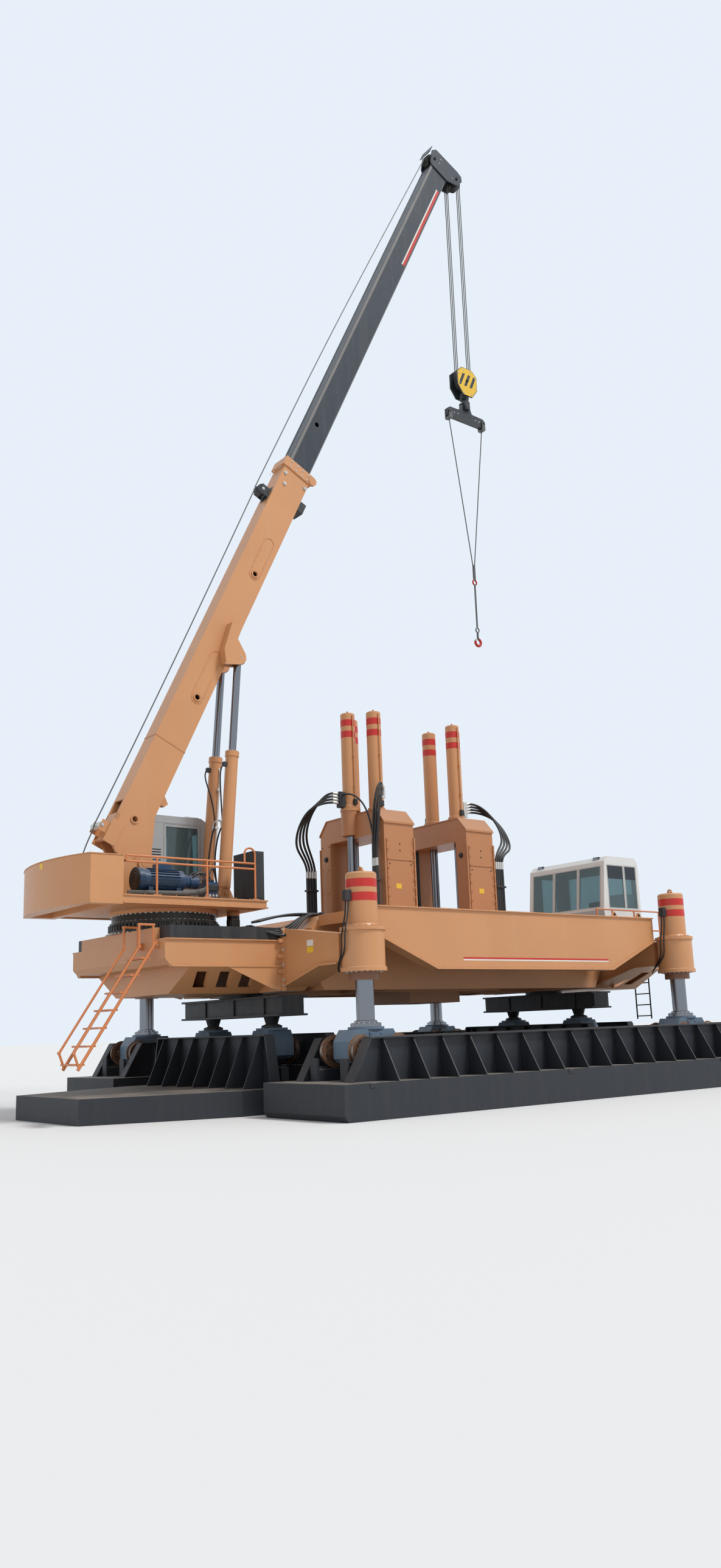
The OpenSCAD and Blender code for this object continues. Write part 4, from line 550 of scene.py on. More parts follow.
for leg, end in ((-1, "l"), (1, "r")):
    for side, tag in ((-1, "near"), (1, "far")):
        body = tag + "_legs"
        x, y = leg * leg_x, side * leg_y
        # side plates on the frame, and the ring of bolts in the foot plate
        for s in (-1, 1):
            y0, y1 = sorted((y + s * 0.250, y + s * 0.266))
            slab("carriage_plate_%s_%s_%d" % (tag, end, s), body, bogie, "bogie_paint",
                 (x - 0.13, y0, 1.06), (x + 0.13, y1, 1.30), 0.006)
            spots = [((x + dx, y + s * 0.266, z), (0, s, 0)) for dx in (-0.1, 0.1)
                     for z in (1.09, 1.18, 1.27)]
            bolts("carriage_bolts_%s_%s_%d" % (tag, end, s), body, bogie, spots, 0.013)
        foot_ring = [(p, (0, 0, 1)) for p in ring(16, 0.225, (x, y, 1.436))]
        bolts("foot_bolts_%s_%s" % (tag, end), body, zinc, foot_ring, 0.014)

# The short pontoons under the two ends, each with a bolster that pivots under the hull.
# They carry the rig while the long pontoons are lifted and moved.
dress(charcoal, "left_short_pontoon", "right_short_pontoon")
dress(black, "left_bolster", "right_bolster")
short_rail_top, short_rail_foot = 0.795, 0.749
for end, tag in ((-1, "left"), (1, "right")):
    body = tag + "_short_pontoon"
    for r in (-1, 1):
        x = end * leg_x + r * gauge_half
        slab("short_rail_polish_%s_%d" % (tag, r), body, chrome, "steel_paint",
             (x - rail_polish, -1.95, short_rail_top - 0.0005),
             (x + rail_polish, 1.95, short_rail_top + 0.0005), 0.0002)
        clips = [((x + d, -1.9 + 0.2 * k, short_rail_foot), (0, 0, 1)) for k in range(20)
                 for d in (-clip_out, clip_out)]
        bolts("short_rail_clips_%s_%d" % (tag, r), body, charcoal, clips, 0.012)
    outer = [(p, (0, 0, -1)) for p in ring(24, 0.375, (end * leg_x, 0, 1.981), 0.5)
             if abs(p.x - end * leg_x) > 0.325]
    bolts("bolster_ring_bolts_" + tag, tag + "_bolster", black, outer, 0.016)

# The slewing ring: a bare, greased toothed ring bolted to the crane plinth, and the upper
# ring bolted under the turret. Its bolts stand in two rows all the way round.
greased = painted("greased_steel", (0.035, 0.034, 0.030), chip=(0.30, 0.28, 0.25), dust=(0.16, 0.13, 0.10),
    chips=0.8, dusty=0.3, rough=0.32, metal=0.6)
dress(greased, "ring_gear")
slew_x = -5.79
for name, body, radius, z, way, size in (("ring_bolts_low", "hull", 0.945, 3.349, 1, 0.015),
                                         ("ring_studs_low", "hull", 1.035, 3.139, 1, 0.021),
                                         ("ring_bolts_top", "turret", 0.955, 3.481, -1, 0.021)):
    bolts(name, body, zinc, [(p, (0, 0, way)) for p in ring(60, radius, (slew_x, 0, z))], size)
band("slew_race", "turret", greased, (slew_x, 0, 0), 0.950, 3.356, 3.479)
pinion_x, pinion_y, teeth = -4.63, -0.52, 22
band("slew_drive_case", "turret", greased, (pinion_x, pinion_y, 0), 0.118, 3.41, 3.479)
bpy.ops.mesh.primitive_cylinder_add(vertices=teeth * 2, radius=0.125, depth=0.13,
    location=(pinion_x, pinion_y, 3.342))
bpy.ops.object.transform_apply()
for v in bpy.context.object.data.vertices:
    dx, dy = v.co.x - pinion_x, v.co.y - pinion_y
    if round(math.atan2(dy, dx) / math.tau * teeth * 2) % 2:
        v.co.x, v.co.y = pinion_x + dx * 0.955, pinion_y + dy * 0.955
done("slew_pinion", "turret", greased)

# The turret: a plate deck with an edge channel, and the round counterweight, a steel box
# filled with ballast. Both are painted tan-orange, with a tread plate laid on the deck.
dress(tan, "turret_deck", "counterweight")
slab("counterweight_blank", "turret", yellow, "tan_paint", (-8.194, -0.11, 4.22), (-8.186, 0.02, 4.32), 0.001)
def tread_plate(name, body, material, x0, x1, y0, y1, z, pitch=0.075):
    """A plate with short raised bars, alternately across each other."""
    base = cube(((x0 + x1) / 2, (y0 + y1) / 2, z + 0.002), (x1 - x0, y1 - y0, 0.004))
    bm = bmesh.new()
    bm.from_mesh(base.data)
    for i in range(int((x1 - x0) / pitch)):
        for j in range(int((y1 - y0) / pitch)):
            c = Vector((x0 + (i + 0.5) * pitch, y0 + (j + 0.5) * pitch, z + 0.004))
            a = math.radians(45 if (i + j) % 2 else -45)
            d = Vector((math.cos(a), math.sin(a), 0)) * 0.022
            n = Vector((-math.sin(a), math.cos(a), 0)) * 0.005
            low = [bm.verts.new(c + v) for v in (-d, n, d, -n)]
            top = bm.verts.new(c + Vector((0, 0, 0.0028)))
            for k in range(4):
                bm.faces.new((low[k - 1], low[k], top)).normal_flip()
    bm.normal_update()
    bm.to_mesh(base.data)
    bm.free()
    base.select_set(True)
    bpy.context.view_layer.objects.active = base
    return done(name, body, material)
tread_plate("turret_tread", "turret", tan, -6.95, -4.80, -0.70, -0.42, 3.690)
tread_plate("turret_tread_near", "turret", tan, -7.25, -4.55, -1.36, -1.13, 3.690)
rim = [((-7.2 + 0.30 * k, s * 1.4, 3.703), (0, 0, 1)) for k in range(9) for s in (-0.985, 0.985)]
bolts("deck_bolts", "turret", tan, rim, 0.011)

# The power pack: a finned electric motor with its fan cowl drives the pumps, which feed a
# block of valves. The suction hose is thick and grey, the pressure hoses are black.
dark_blue = painted("motor_blue", (0.010, 0.042, 0.100), chip=(0.12, 0.10, 0.08), dust=(0.30, 0.27, 0.22),
    chips=0.4, dusty=0.35, rough=0.36)
dress(dark_blue, "power_pack")
motor = Vector((-6.77, -0.93, 4.01))
bpy.ops.mesh.primitive_cylinder_add(vertices=40, radius=0.205, depth=0.014,
    location=motor + Vector((-0.096, 0, 0)), rotation=(0, math.pi / 2, 0))
bpy.ops.object.transform_apply()
bpy.ops.object.mode_set(mode="EDIT")
bpy.ops.mesh.select_all(action="DESELECT")
bm = bmesh.from_edit_mesh(bpy.context.object.data)
bm.faces.ensure_lookup_table()
for f in bm.faces:
    f.select = f.normal.x < -0.9
bmesh.update_edit_mesh(bpy.context.object.data)
for k in range(5):
    bpy.ops.mesh.inset(thickness=0.014)
    bpy.ops.transform.translate(value=(0.006 if k % 2 == 0 else -0.006, 0, 0))
    bpy.ops.mesh.inset(thickness=0.012)
bpy.ops.object.mode_set(mode="OBJECT")
done("motor_grille", "turret", rubber)
face_ring = [(p, (1, 0, 0)) for p in ring(8, 0.165, motor + Vector((0.803, 0, 0)), 0, (0, 1, 0), (0, 0, 1))]
bolts("motor_face_bolts", "turret", zinc, face_ring, 0.011)
lid = [((x, y, 4.30), (0, 0, 1)) for x in (-6.44, -6.24) for y in (-1.015, -0.845)]
bolts("motor_box_bolts", "turret", zinc, lid, 0.007)
grey_rubber = painted("suction_hose", (0.085, 0.085, 0.080), chips=0.0, dusty=0.4, rough=0.7, bump=0.12)
hoses("suction_hose", "turret", grey_rubber,
      [[(-7.05, -1.02, 3.76), (-6.75, -1.13, 3.755), (-6.4, -1.19, 3.76), (-6.05, -1.20, 3.765),
        (-5.75, -1.18, 3.80), (-5.55, -1.10, 3.87), (-5.46, -1.04, 3.90)]], 0.048)
hoses("pump_hoses", "turret", rubber,
      [[(-5.75, -0.84, 4.09), (-5.70, -0.80, 4.22), (-5.56, -0.84, 4.24), (-5.47, -0.92, 4.12)],
       [(-5.80, -1.02, 4.06), (-5.72, -1.06, 4.19), (-5.55, -1.03, 4.20), (-5.42, -0.98, 4.11)],
       [(-5.42, -0.82, 4.10), (-5.34, -0.74, 4.30), (-5.20, -0.62, 4.25),
        (-5.12, -0.58, 3.98), (-5.10, -0.56, 3.70)],
       [(-5.36, -0.86, 4.10), (-5.26, -0.80, 4.36), (-5.12, -0.68, 4.32),
        (-5.04, -0.64, 4.00), (-5.02, -0.62, 3.70)],
       [(-5.30, -1.0, 3.76), (-5.1, -1.1, 3.72), (-4.9, -1.08, 3.72), (-4.74, -1.0, 3.74)]], 0.017)
plugs = [((-5.515 + 0.07 * k, -1.052, 3.78 + 0.13 * j), (0, -1, 0)) for k in range(4) for j in range(2)]
bolts("valve_block_plugs", "turret", zinc, plugs, 0.020)
slab("valve_bank", "turret", black, "black_paint", (-5.50, -1.12, 3.86), (-5.29, -1.054, 3.96), 0.008)
for k in range(4):
    x = -5.502 + 0.058 * k
    slab("valve_coil_%d" % k, "turret", black, "black_paint", (x, -0.95, 4.02), (x + 0.044, -0.87, 4.075),
         0.008)

# The switch cabinet: folded black sheet with two doors on concealed hinges, a latch on
# the front one, and cooling louvres pressed into its side.
dress(black, "switch_cabinet")
slabs("turret", black, "black_paint",
      ("cabinet_door_front", (-4.478, -1.345, 3.74), (-4.470, -0.715, 4.565), 0.003),
      ("cabinet_door_near", (-4.705, -1.368, 3.74), (-4.495, -1.361, 4.565), 0.002))
for k in range(6):
    z = 4.22 + 0.045 * k
    slab("cabinet_louvre_%d" % k, "turret", black, "black_paint", (-4.724, -1.25, z),
         (-4.719, -0.82, z + 0.02), 0.002)
slab("cabinet_latch", "turret", zinc, "black_paint", (-4.468, -0.79, 4.10), (-4.452, -0.765, 4.24))
slab("cabinet_blank", "turret", yellow, "black_paint", (-4.4705, -1.10, 4.35), (-4.4685, -1.02, 4.42), 0.0005)

# Railing of the turret and the ladder up to the crane deck: bent round tube, welded to
# small foot plates that are bolted down, all in one orange paint.
orange = painted("railing_paint", (0.60, 0.20, 0.065), chip=(0.20, 0.12, 0.08), chips=0.5, dusty=0.25,
    rough=0.38)
dress(orange, "turret_railing", "ladder_rails")
posts = (-6.68, -5.69, -4.69)
feet = [((x + d, -1.382, 3.703), (0, 0, 1)) for x in posts for d in (-0.045, 0.045)]
bolts("railing_feet", "turret", zinc, feet, 0.010)
for k, x in enumerate(posts):
    slab("railing_foot_%d" % k, "turret", orange, "orange_paint", (x - 0.07, -1.420, 3.6905),
         (x + 0.07, -1.345, 3.702), 0.003)

# The crane driver's cab: a bought-in pressed steel shell in light grey, with black rubber
# seals round tinted glass, a tread roof, a mirror, and a seat with two joystick consoles.
cab_white = painted("cab_white", (0.70, 0.70, 0.68), chip=(0.35, 0.3, 0.25), chips=0.15, dusty=0.30,
    rough=0.33)
block_dark = painted("block_dark", (0.022, 0.025, 0.030), chip=(0.22, 0.18, 0.14), dust=(0.28, 0.24, 0.2),
    chips=0.8, dusty=0.3, rough=0.4)
cab_grey = painted("cab_grey", (0.40, 0.42, 0.43), chip=(0.2, 0.15, 0.12), chips=0.2, dusty=0.3, rough=0.35)
dress(cab_grey, "crane_cab", "crane_door")
clear = {"Base Color": (0.32, 0.46, 0.48, 1), "Transmission Weight": 0.86, "IOR": 1.45}
glass = filmed("tinted_glass", clear, 0.01, 0.09, 3.5, 6)
seal = painted("window_seal", (0.008, 0.008, 0.009), chips=0.0, dusty=0.2, rough=0.6, bump=0.03)

def window(name, body, face, low, high, plane, glass_in=0.016, proud=0.006, lip=0.035, lean=None):
    """Glass in a rubber seal. face is the way that the pane looks, plane its outer face."""
    axis = "xyz".index(face[1])
    sign = 1 if face[0] == "+" else -1
    a, b = [i for i in range(3) if i != axis]
    wide, tall = high[0] - low[0], high[1] - low[1]
    mid, half, size = [0, 0, 0], [0, 0, 0], [0, 0, 0]
    mid[axis], mid[a], mid[b] = plane - sign * glass_in, (low[0] + high[0]) / 2, (low[1] + high[1]) / 2
    half[axis], half[a], half[b] = 0.004, wide / 2 + 0.004, tall / 2 + 0.004
    pane = slab(name + "_glass", body, glass, "steel_paint",
                Vector(mid) - Vector(half), Vector(mid) + Vector(half), 0.001)
    # the seal: a flat ring, inset and given a wall
    mid[axis] = plane
    size[axis], size[a], size[b] = 0.046, wide + 2 * lip, tall + 2 * lip
    o = cube(mid, size)
    bpy.ops.object.mode_set(mode="EDIT")
    bm = bmesh.from_edit_mesh(o.data)
    for f in bm.faces:
        f.select = abs(f.normal[axis]) > 0.9
    bmesh.update_edit_mesh(o.data)
    bpy.ops.mesh.inset(thickness=lip + 0.012)
    bm = bmesh.from_edit_mesh(o.data)
    picked = [f for f in bm.faces if f.select]
    bmesh.ops.bridge_loops(bm, edges=[e for f in picked for e in f.edges])
    bmesh.ops.delete(bm, geom=picked, context="FACES")
    bmesh.update_edit_mesh(o.data)
    bpy.ops.mesh.select_all(action="SELECT")
    bpy.ops.mesh.normals_make_consistent(inside=False)
    bpy.ops.object.mode_set(mode="OBJECT")
    worked("BEVEL", width=0.005, segments=2)
    # push the ring in so that it stands proud by a few millimetres only
    o.data.transform(Matrix.Translation([-sign * (0.023 - proud) if i == axis else 0 for i in range(3)]))
    frame_ring = done(name + "_seal", body, seal)
    if lean:
        pane.data.transform(lean)
        frame_ring.data.transform(lean)

def leaning(x, z, degrees):
    """A turn about a level line across the rig, through x and z."""
    return (Matrix.Translation((x, 0, z)) @ Matrix.Rotation(math.radians(degrees), 4, "Y")
            @ Matrix.Translation((0, 0, -z)))

window("crane_side_window", "turret", "-y", (-5.45, 4.31), (-4.75, 5.29), 0.56, lip=0.05)
window("crane_rear_window", "turret", "-x", (0.70, 4.59), (1.23, 5.24), -5.87)
window("crane_door_window", "crane_door", "+y", (-5.544, 4.39), (-4.996, 5.24), 1.37)
window("crane_windscreen", "turret", "+x", (0.67, 4.31), (1.26, 5.27), 0.0, lean=leaning(-4.4495, 4.79, -2.9))
tread_plate("crane_cab_roof_tread", "turret", block_dark, -5.76, -5.06, 0.60, 1.33, 5.500, 0.06)
slabs("turret", cab_white, "white_paint",
      ("crane_cab_hatch", (-5.02, 0.60, 5.4995), (-4.70, 1.33, 5.522), 0.008),
      ("crane_cab_hatch_handle", (-4.93, 0.66, 5.521), (-4.90, 0.86, 5.545), 0.006))
slabs("turret", cab_grey, "grey_paint",
      ("crane_cab_gutter", (-5.80, 0.556, 5.36), (-4.70, 0.562, 5.39), 0.002),
      ("crane_cab_lower_panel", (-5.80, 0.5555, 3.78), (-4.68, 0.561, 4.22), 0.004))
slabs("turret", seal, "black_paint",
      ("crane_cab_mirror", (-5.835, 0.44, 5.56), (-5.800, 0.60, 5.84), 0.010),
      ("crane_console", (-4.86, 0.70, 3.745), (-4.72, 1.24, 4.26), 0.02))
for k in range(5):
    z = 4.62 + 0.05 * k
    slab("crane_cab_vent_%d" % k, "turret", seal, "black_paint", (-5.80, 0.5565, z),
         (-5.56, 0.561, z + 0.02), 0.001)
slab("crane_cab_floor_mat", "turret", rubber, "black_paint", (-5.80, 0.62, 3.737), (-4.66, 1.31, 3.745),
     0.003)
panel = [((x, 0.5555, z), (0, -1, 0)) for x in (-5.77, -5.24, -4.71) for z in (3.81, 4.19)]
bolts("crane_cab_panel_bolts", "turret", cab_grey, panel, 0.008)
hoses("crane_cab_mirror_arm", "turret", seal,
      [[(-5.81, 0.60, 5.46), (-5.81, 0.57, 5.52), (-5.81, 0.55, 5.58), (-5.81, 0.54, 5.62)]], 0.011)
slab("crane_cab_mirror_face", "turret", chrome, "chrome", (-5.800, 0.452, 5.572), (-5.7985, 0.588, 5.828),
     0.0005)
grab = ((1.372, 4.2), (1.41, 4.22), (1.41, 4.6), (1.41, 5.0), (1.372, 5.02))
hoses("crane_cab_grab_rail", "turret", seal, [[(-4.60, y, z) for y, z in grab]], 0.012)
slab("crane_door_handle", "crane_door", seal, "black_paint", (-5.60, 1.371, 4.28), (-5.49, 1.392, 4.31),
     0.006)

vinyl = painted("seat_vinyl", (0.022, 0.022, 0.024), chips=0.0, dusty=0.15, rough=0.6, bump=0.05)
def seat(name, body, x, y, z, facing):
    """A sprung driver's seat: pan, back and armrests on a pedestal."""
    def corners(low, high):
        x0, x1 = sorted((low[0] * facing, high[0] * facing))
        return Vector((x + x0, y + low[1], z + low[2])), Vector((x + x1, y + high[1], z + high[2]))
    for part, low, high in (("pedestal", (-0.16, -0.16, 0), (0.16, 0.16, 0.26)),
                            ("arm_l", (-0.05, -0.30, 0.52), (0.25, -0.24, 0.58)),
                            ("arm_r", (-0.05, 0.24, 0.52), (0.25, 0.30, 0.58))):
        slab("%s_%s" % (name, part), body, seal, "black_paint", *corners(low, high), 0.015)
    for part, low, high in (("pan", (-0.24, -0.24, 0.26), (0.26, 0.24, 0.40)),
                            ("back", (-0.30, -0.23, 0.36), (-0.18, 0.23, 1.02))):
        low, high = corners(low, high)
        o = cube((low + high) / 2, high - low)
        worked("BEVEL", width=0.035, segments=2)
        worked("SUBSURF", levels=2, render_levels=2)
        bpy.ops.object.shade_smooth_by_angle(angle=math.radians(60))
        done("%s_%s" % (name, part), body, vinyl)
    for s in (-1, 1):
        stick = [(x + facing * out, y + s * 0.27, z + h)
                 for out, h in ((0.22, 0.58), (0.23, 0.64), (0.22, 0.70))]
        hoses("%s_stick_%d" % (name, s), body, seal, [stick], 0.014)
seat("crane_seat", "turret", -5.28, 0.965, 3.745, 1)

# The boom: two welded boxes of high-strength plate, the outer painted tan-orange and the
# inner dark. The hoist rope runs up its back over a roller at the foot and one at the collar.
dress(tan, "boom_base")
boom_dark = painted("boom_dark", (0.021, 0.028, 0.039), chip=(0.16, 0.12, 0.09), dust=(0.32, 0.30, 0.27),
    chips=0.45, dusty=0.25, rough=0.38)
dress(boom_dark, "boom_inner")
dress(greased, "head_sheaves")
worn_edge = painted("worn_edge", (0.175, 0.165, 0.150), chip=(0.05, 0.05, 0.05), dust=(0.10, 0.10, 0.10),
    chips=0.9, dusty=0.7, rough=0.5, streaks=0.6)
boom_axes = Matrix.Translation((-6.359, 0, 4.406)) @ Matrix.Rotation(-math.radians(64.2), 4, "Y")
def on_boom(u, y, v):
    """A point from its place along, across and above the boom's foot pin."""
    return boom_axes @ Vector((u, y, v))
def boom_slab(name, body, material, slot, low, high, round_by=0.004):
    o = slab(name, body, material, slot, low, high, round_by)
    o.data.transform(boom_axes)
    return o
def boom_bolts(name, body, material, places, size):
    turn = boom_axes.to_3x3()
    return bolts(name, body, material, [(boom_axes @ Vector(p), turn @ Vector(n)) for p, n in places],
                 size)
for s, t in ((-1, "near"), (1, "far")):
    for line, paint, u0, u1, v0, v1, skin, proud, round_by in (
            ("boom_white_line_", white_line, 16.8, 19.82, 0.318, 0.352, 0.1702, 0.1716, 0.0003),
            ("boom_red_line_", red, 16.8, 19.82, 0.252, 0.316, 0.1702, 0.1716, 0.0003),
            ("runner_wear_", worn_edge, 9.66, 20.5, 0.705, 0.768, 0.17005, 0.17045, 0.0001),
            ("inner_wear_", worn_edge, 9.66, 20.2, 0.215, 0.228, 0.17005, 0.17045, 0.0001)):
        y0, y1 = sorted((s * skin, s * proud))
        boom_slab(line + t, "boom_inner", paint, "steel_paint", (u0, y0, v0), (u1, y1, v1), round_by)
    collar = [((u, s * 0.245, v), (0, s, 0)) for u in (9.45, 9.58) for v in (0.24, 0.40, 0.56, 0.72)]
    boom_bolts("collar_bolts_" + t, "boom", zinc, collar, 0.017)
    keeper = [((4.67 + 0.03 * math.cos(a), s * 0.434, 0.03 * math.sin(a)), (0, s, 0))
              for a in (0.5, 2.6, 4.7)]
    boom_bolts("pin_keeper_bolts_" + t, "boom", zinc, keeper, 0.010)
    pads = [((9.30, s * (0.05 + 0.08 * i), 0.885), (0, 0, 1)) for i in range(3)]
    boom_bolts("wear_pad_bolts_" + t, "boom", zinc, pads, 0.012)
face_bolts = [((9.6305, y, v), (1, 0, 0)) for y in (-0.2, -0.1, 0, 0.1, 0.2) for v in (0.125, 0.862)]
boom_bolts("collar_face_bolts", "boom", zinc, face_bolts, 0.014)
boom_slab("wear_pads", "boom", black, "black_paint", (9.622, -0.160, 0.172), (9.642, 0.160, 0.206), 0.003)

def roller(name, body, u, v, half, radius, cheek_low, paint=tan):
    """A rope roller between two cheek plates."""
    for s in (-1, 1):
        y0, y1 = sorted((s * half, s * (half + 0.016)))
        boom_slab("%s_cheek_%d" % (name, s), body, paint, "tan_paint",
                  (u - 0.11, y0, cheek_low), (u + 0.11, y1, v + radius * 0.5), 0.008)
    bpy.ops.mesh.primitive_cylinder_add(vertices=40, radius=radius, depth=half * 2 - 0.01,
        rotation=(math.pi / 2, 0, 0))
    o = bpy.context.object
    bpy.ops.object.transform_apply()
    bpy.ops.object.mode_set(mode="EDIT")
    for s in (-1, 1):
        bm = bmesh.from_edit_mesh(o.data)
        for f in bm.faces:
            f.select = f.normal.y * s > 0.9
        bmesh.update_edit_mesh(o.data)
        for inset, shift in ((0.2, 0.004), (0.3, -0.008)):
            bpy.ops.mesh.inset(thickness=radius * inset)
            bpy.ops.transform.translate(value=(0, s * shift, 0))
    bpy.ops.object.mode_set(mode="OBJECT")
    bpy.ops.object.shade_smooth_by_angle(angle=math.radians(40))
    o.data.transform(boom_axes @ Matrix.Translation((u, 0, v)))
    done(name + "_wheel", body, zinc if paint is tan else black)
    ends = [((u, s * (half + 0.016), v), (0, s, 0)) for s in (-1, 1)]
    boom_bolts(name + "_pin", body, zinc, ends, 0.026)
roller("foot_roller", "boom", 0.26, 0.985, 0.17, 0.065, 0.80)
boom_slab("foot_roller_bracket", "boom", tan, "tan_paint", (0.06, -0.22, 0.770), (0.62, 0.22, 0.83), 0.006)
for s in (-1, 1):
    y = s * 0.225
    boom_slab("foot_roller_arm_%d" % s, "boom", tan, "tan_paint", (0.0, y - 0.012, 0.62),
              (0.46, y + 0.012, 0.87), 0.01)
roller("collar_roller", "boom", 8.60, 1.00, 0.10, 0.115, 0.83, black)
boom_slab("collar_roller_bracket", "boom", black, "tan_paint", (8.44, -0.13, 0.828), (8.78, 0.13, 0.842))
boom_slab("under_bracket", "boom", black, "black_paint", (8.70, -0.16, -0.03), (8.96, 0.16, 0.118), 0.012)
bosses = [((u, s * 0.222, v), (0, s, 0)) for s in (-1, 1)
          for u, v in ((9.24, 0.74), (8.99, 0.66), (9.24, 0.20))]
boom_bolts("collar_bosses", "boom", zinc, bosses, 0.034)
steel_rope = painted("steel_rope", (0.135, 0.135, 0.130), chip=(0.2, 0.15, 0.1), dust=(0.10, 0.08, 0.06),
    chips=0.3, dusty=0.3, rough=0.42, bump=0.2, metal=0.7)
dress(steel_rope, "hoist_ropes")
rope_r = 0.012
over_foot, over_collar = on_boom(0.24, 0, 1.055), on_boom(8.60, 0, 1.127)
outer_run = [over_foot, on_boom(3, 0, 1.035), on_boom(5.5, 0, 1.075), over_collar]
inner_run = [on_boom(u, 0.03, 1.129) for u in (8.60, 11, 13.4)]
inner_run += [on_boom(17, 0.02, 1.04), on_boom(20.6, 0, 0.945)]
drum_run = [over_foot, on_boom(0.17, 0, 1.03), (-7.36, 0, 4.72), (-7.44, 0, 4.45), (-7.47, 0, 4.345)]
for name, body, run in (("boom_rope_base", "boom", outer_run), ("boom_rope_inner", "boom_inner", inner_run),
                        ("winch_rope", "boom", drum_run)):
    hoses(name, body, steel_rope, [run], rope_r)
slab("winch_rope_gland", "turret", black, "black_paint", (-7.60, -0.10, 4.336), (-7.34, 0.10, 4.346))
head_points = ((20.75, 0.60), (20.60, 0.60), (20.86, -0.14), (20.58, 0.10))
head_spots = [((u, s * 0.201, v), (0, s, 0)) for s in (-1, 1) for u, v in head_points]
boom_bolts("head_bolts", "boom_inner", zinc, head_spots, 0.014)
boom_slab("head_guard", "boom_inner", boom_dark, "steel_paint", (20.66, -0.195, 0.955), (20.90, 0.195, 0.972))

# The luffing cylinders: honed tubes with bolted glands and chromed rods. Each has a steel
# pipe up to its gland, clamped at mid height, and short hoses down to the deck.
dress(tan, "luff_barrels")
luff_foot = Vector((-4.70, 0, 3.93))
along = (on_boom(4.67, 0, 0) - luff_foot).normalized()
across = Vector((along.z, 0, -along.x))
luff_axes = Matrix((across, Vector((0, 1, 0)), along)).transposed().to_4x4()
def on_luff(t, y, w):
    """A point t up the cylinder from its foot pin, y across the rig and w ahead."""
    return luff_foot + along * t + Vector((0, y, 0)) + across * w
def luff_slab(name, material, place, x0, x1, half_y, half_z, round_by):
    o = slab(name, "luff_barrels", material, "tan_paint" if material is zinc else "black_paint",
             (x0, -half_y, -half_z), (x1, half_y, half_z), round_by)
    o.data.transform(Matrix.Translation(place) @ luff_axes)
for s, t in ((-1, "near"), (1, "far")):
    y = s * 0.31
    gland = [(p, along) for p in ring(12, 0.108, on_luff(2.782, y, 0), 0, (0, 1, 0), across)]
    bolts("luff_gland_bolts_" + t, "luff_barrels", zinc, gland, 0.011)
    # each run's points are height up the cylinder, inward offset and forward offset
    pipe = ((0.35, 0.150, 0.03), (1.0, 0.150, 0.03), (1.9, 0.150, 0.03),
            (2.45, 0.150, 0.03), (2.53, 0.145, 0.02), (2.56, 0.10, 0.01))
    hose = ((1.32, 0.16, -0.03), (1.2, 0.19, -0.08), (0.9, 0.20, -0.12),
            (0.55, 0.19, -0.13), (0.30, 0.16, -0.10), (0.16, 0.10, -0.10))
    fork = ((1.28, 0.135, -0.05), (1.42, 0.16, -0.06), (1.44, 0.20, -0.06), (1.44, 0.26, -0.05))
    loop = ((2.48, 0, -0.19), (2.40, 0, -0.24), (2.2, 0.06, -0.20), (1.95, 0.12, -0.13),
            (1.7, 0.165, -0.07), (1.45, 0.17, -0.03), (1.36, 0.16, -0.02))
    for name, paint, slot, radius, run in (("luff_pipe_", zinc, "tan_paint", 0.012, pipe),
                                           ("luff_hose_", rubber, "black_paint", 0.016, hose),
                                           ("luff_fork_", zinc, "steel_paint", 0.019, fork),
                                           ("luff_loop_", rubber, "black_paint", 0.014, loop)):
        hoses(name + t, "luff_barrels", paint,
              [[on_luff(h, y - s * inward, w) for h, inward, w in run]], radius)
    for k, h in enumerate((1.34, 2.10)):
        luff_slab("luff_clamp_%s_%d" % (t, k), zinc, on_luff(h, y - s * 0.137, 0.01), -0.02, 0.05, 0.035,
                  0.03, 0.006)
    luff_slab("luff_port_" + t, black, on_luff(2.50, y, -0.145), -0.05, 0.05, 0.04, 0.045, 0.01)

# The hook block: dark steel cheeks, yellow with black warning bars on their faces, round
# the sheaves, and the broad plate that spreads two slings down to one small hook.
dress(block_dark, "hook_block")
dress(steel_rope, "slings")
hang_x = 2.677
cheek = ((0.16, 17.548), (0.318, 17.40), (0.318, 17.05), (0.142, 16.812),
         (-0.142, 16.812), (-0.318, 17.05), (-0.318, 17.40), (-0.16, 17.548))
for s in (-1, 1):
    bpy.ops.mesh.primitive_circle_add(vertices=len(cheek), radius=1, fill_type="NGON",
        rotation=(math.pi / 2, 0, 0))
    bpy.ops.object.transform_apply()
    for v, (x, z) in zip(bpy.context.object.data.vertices, cheek):
        v.co = (hang_x + x, s * 0.1506, z)
    worked("SOLIDIFY", thickness=0.0008)
    done("block_yellow_%d" % s, "hook", yellow)
    for k in range(3):
        o = cube((0, 0, 0), (0.085, 0.0016, 0.34))
        bpy.ops.object.mode_set(mode="EDIT")
        bpy.ops.mesh.subdivide(number_cuts=1)
        bpy.ops.object.mode_set(mode="OBJECT")
        for v in o.data.vertices:
            v.co.x += v.co.z * 0.45
        o.data.transform(Matrix.Translation((hang_x - 0.185 + 0.185 * k, s * 0.1518, 17.225)))
        done("block_warning_%d_%d" % (s, k), "hook", block_dark)
    rows = ((0.27, 17.36), (0.27, 17.10), (0.12, 17.49), (0.13, 16.86))
    spots = [((hang_x + t * x, s * 0.150, z), (0, s, 0)) for x, z in rows for t in (-1, 1)]
    bolts("block_bolts_%d" % s, "hook", zinc, spots, 0.016)
    spots = [((hang_x + x, s * 0.0555, 16.26), (0, s, 0)) for x in (-0.42, -0.30, 0.30, 0.42)]
    bolts("spreader_bolts_%d" % s, "hook", zinc, spots, 0.014)
red_hook = painted("red_hook", (0.45, 0.020, 0.015), chip=(0.10, 0.08, 0.07), chips=0.8, dusty=0.3,
    rough=0.42)
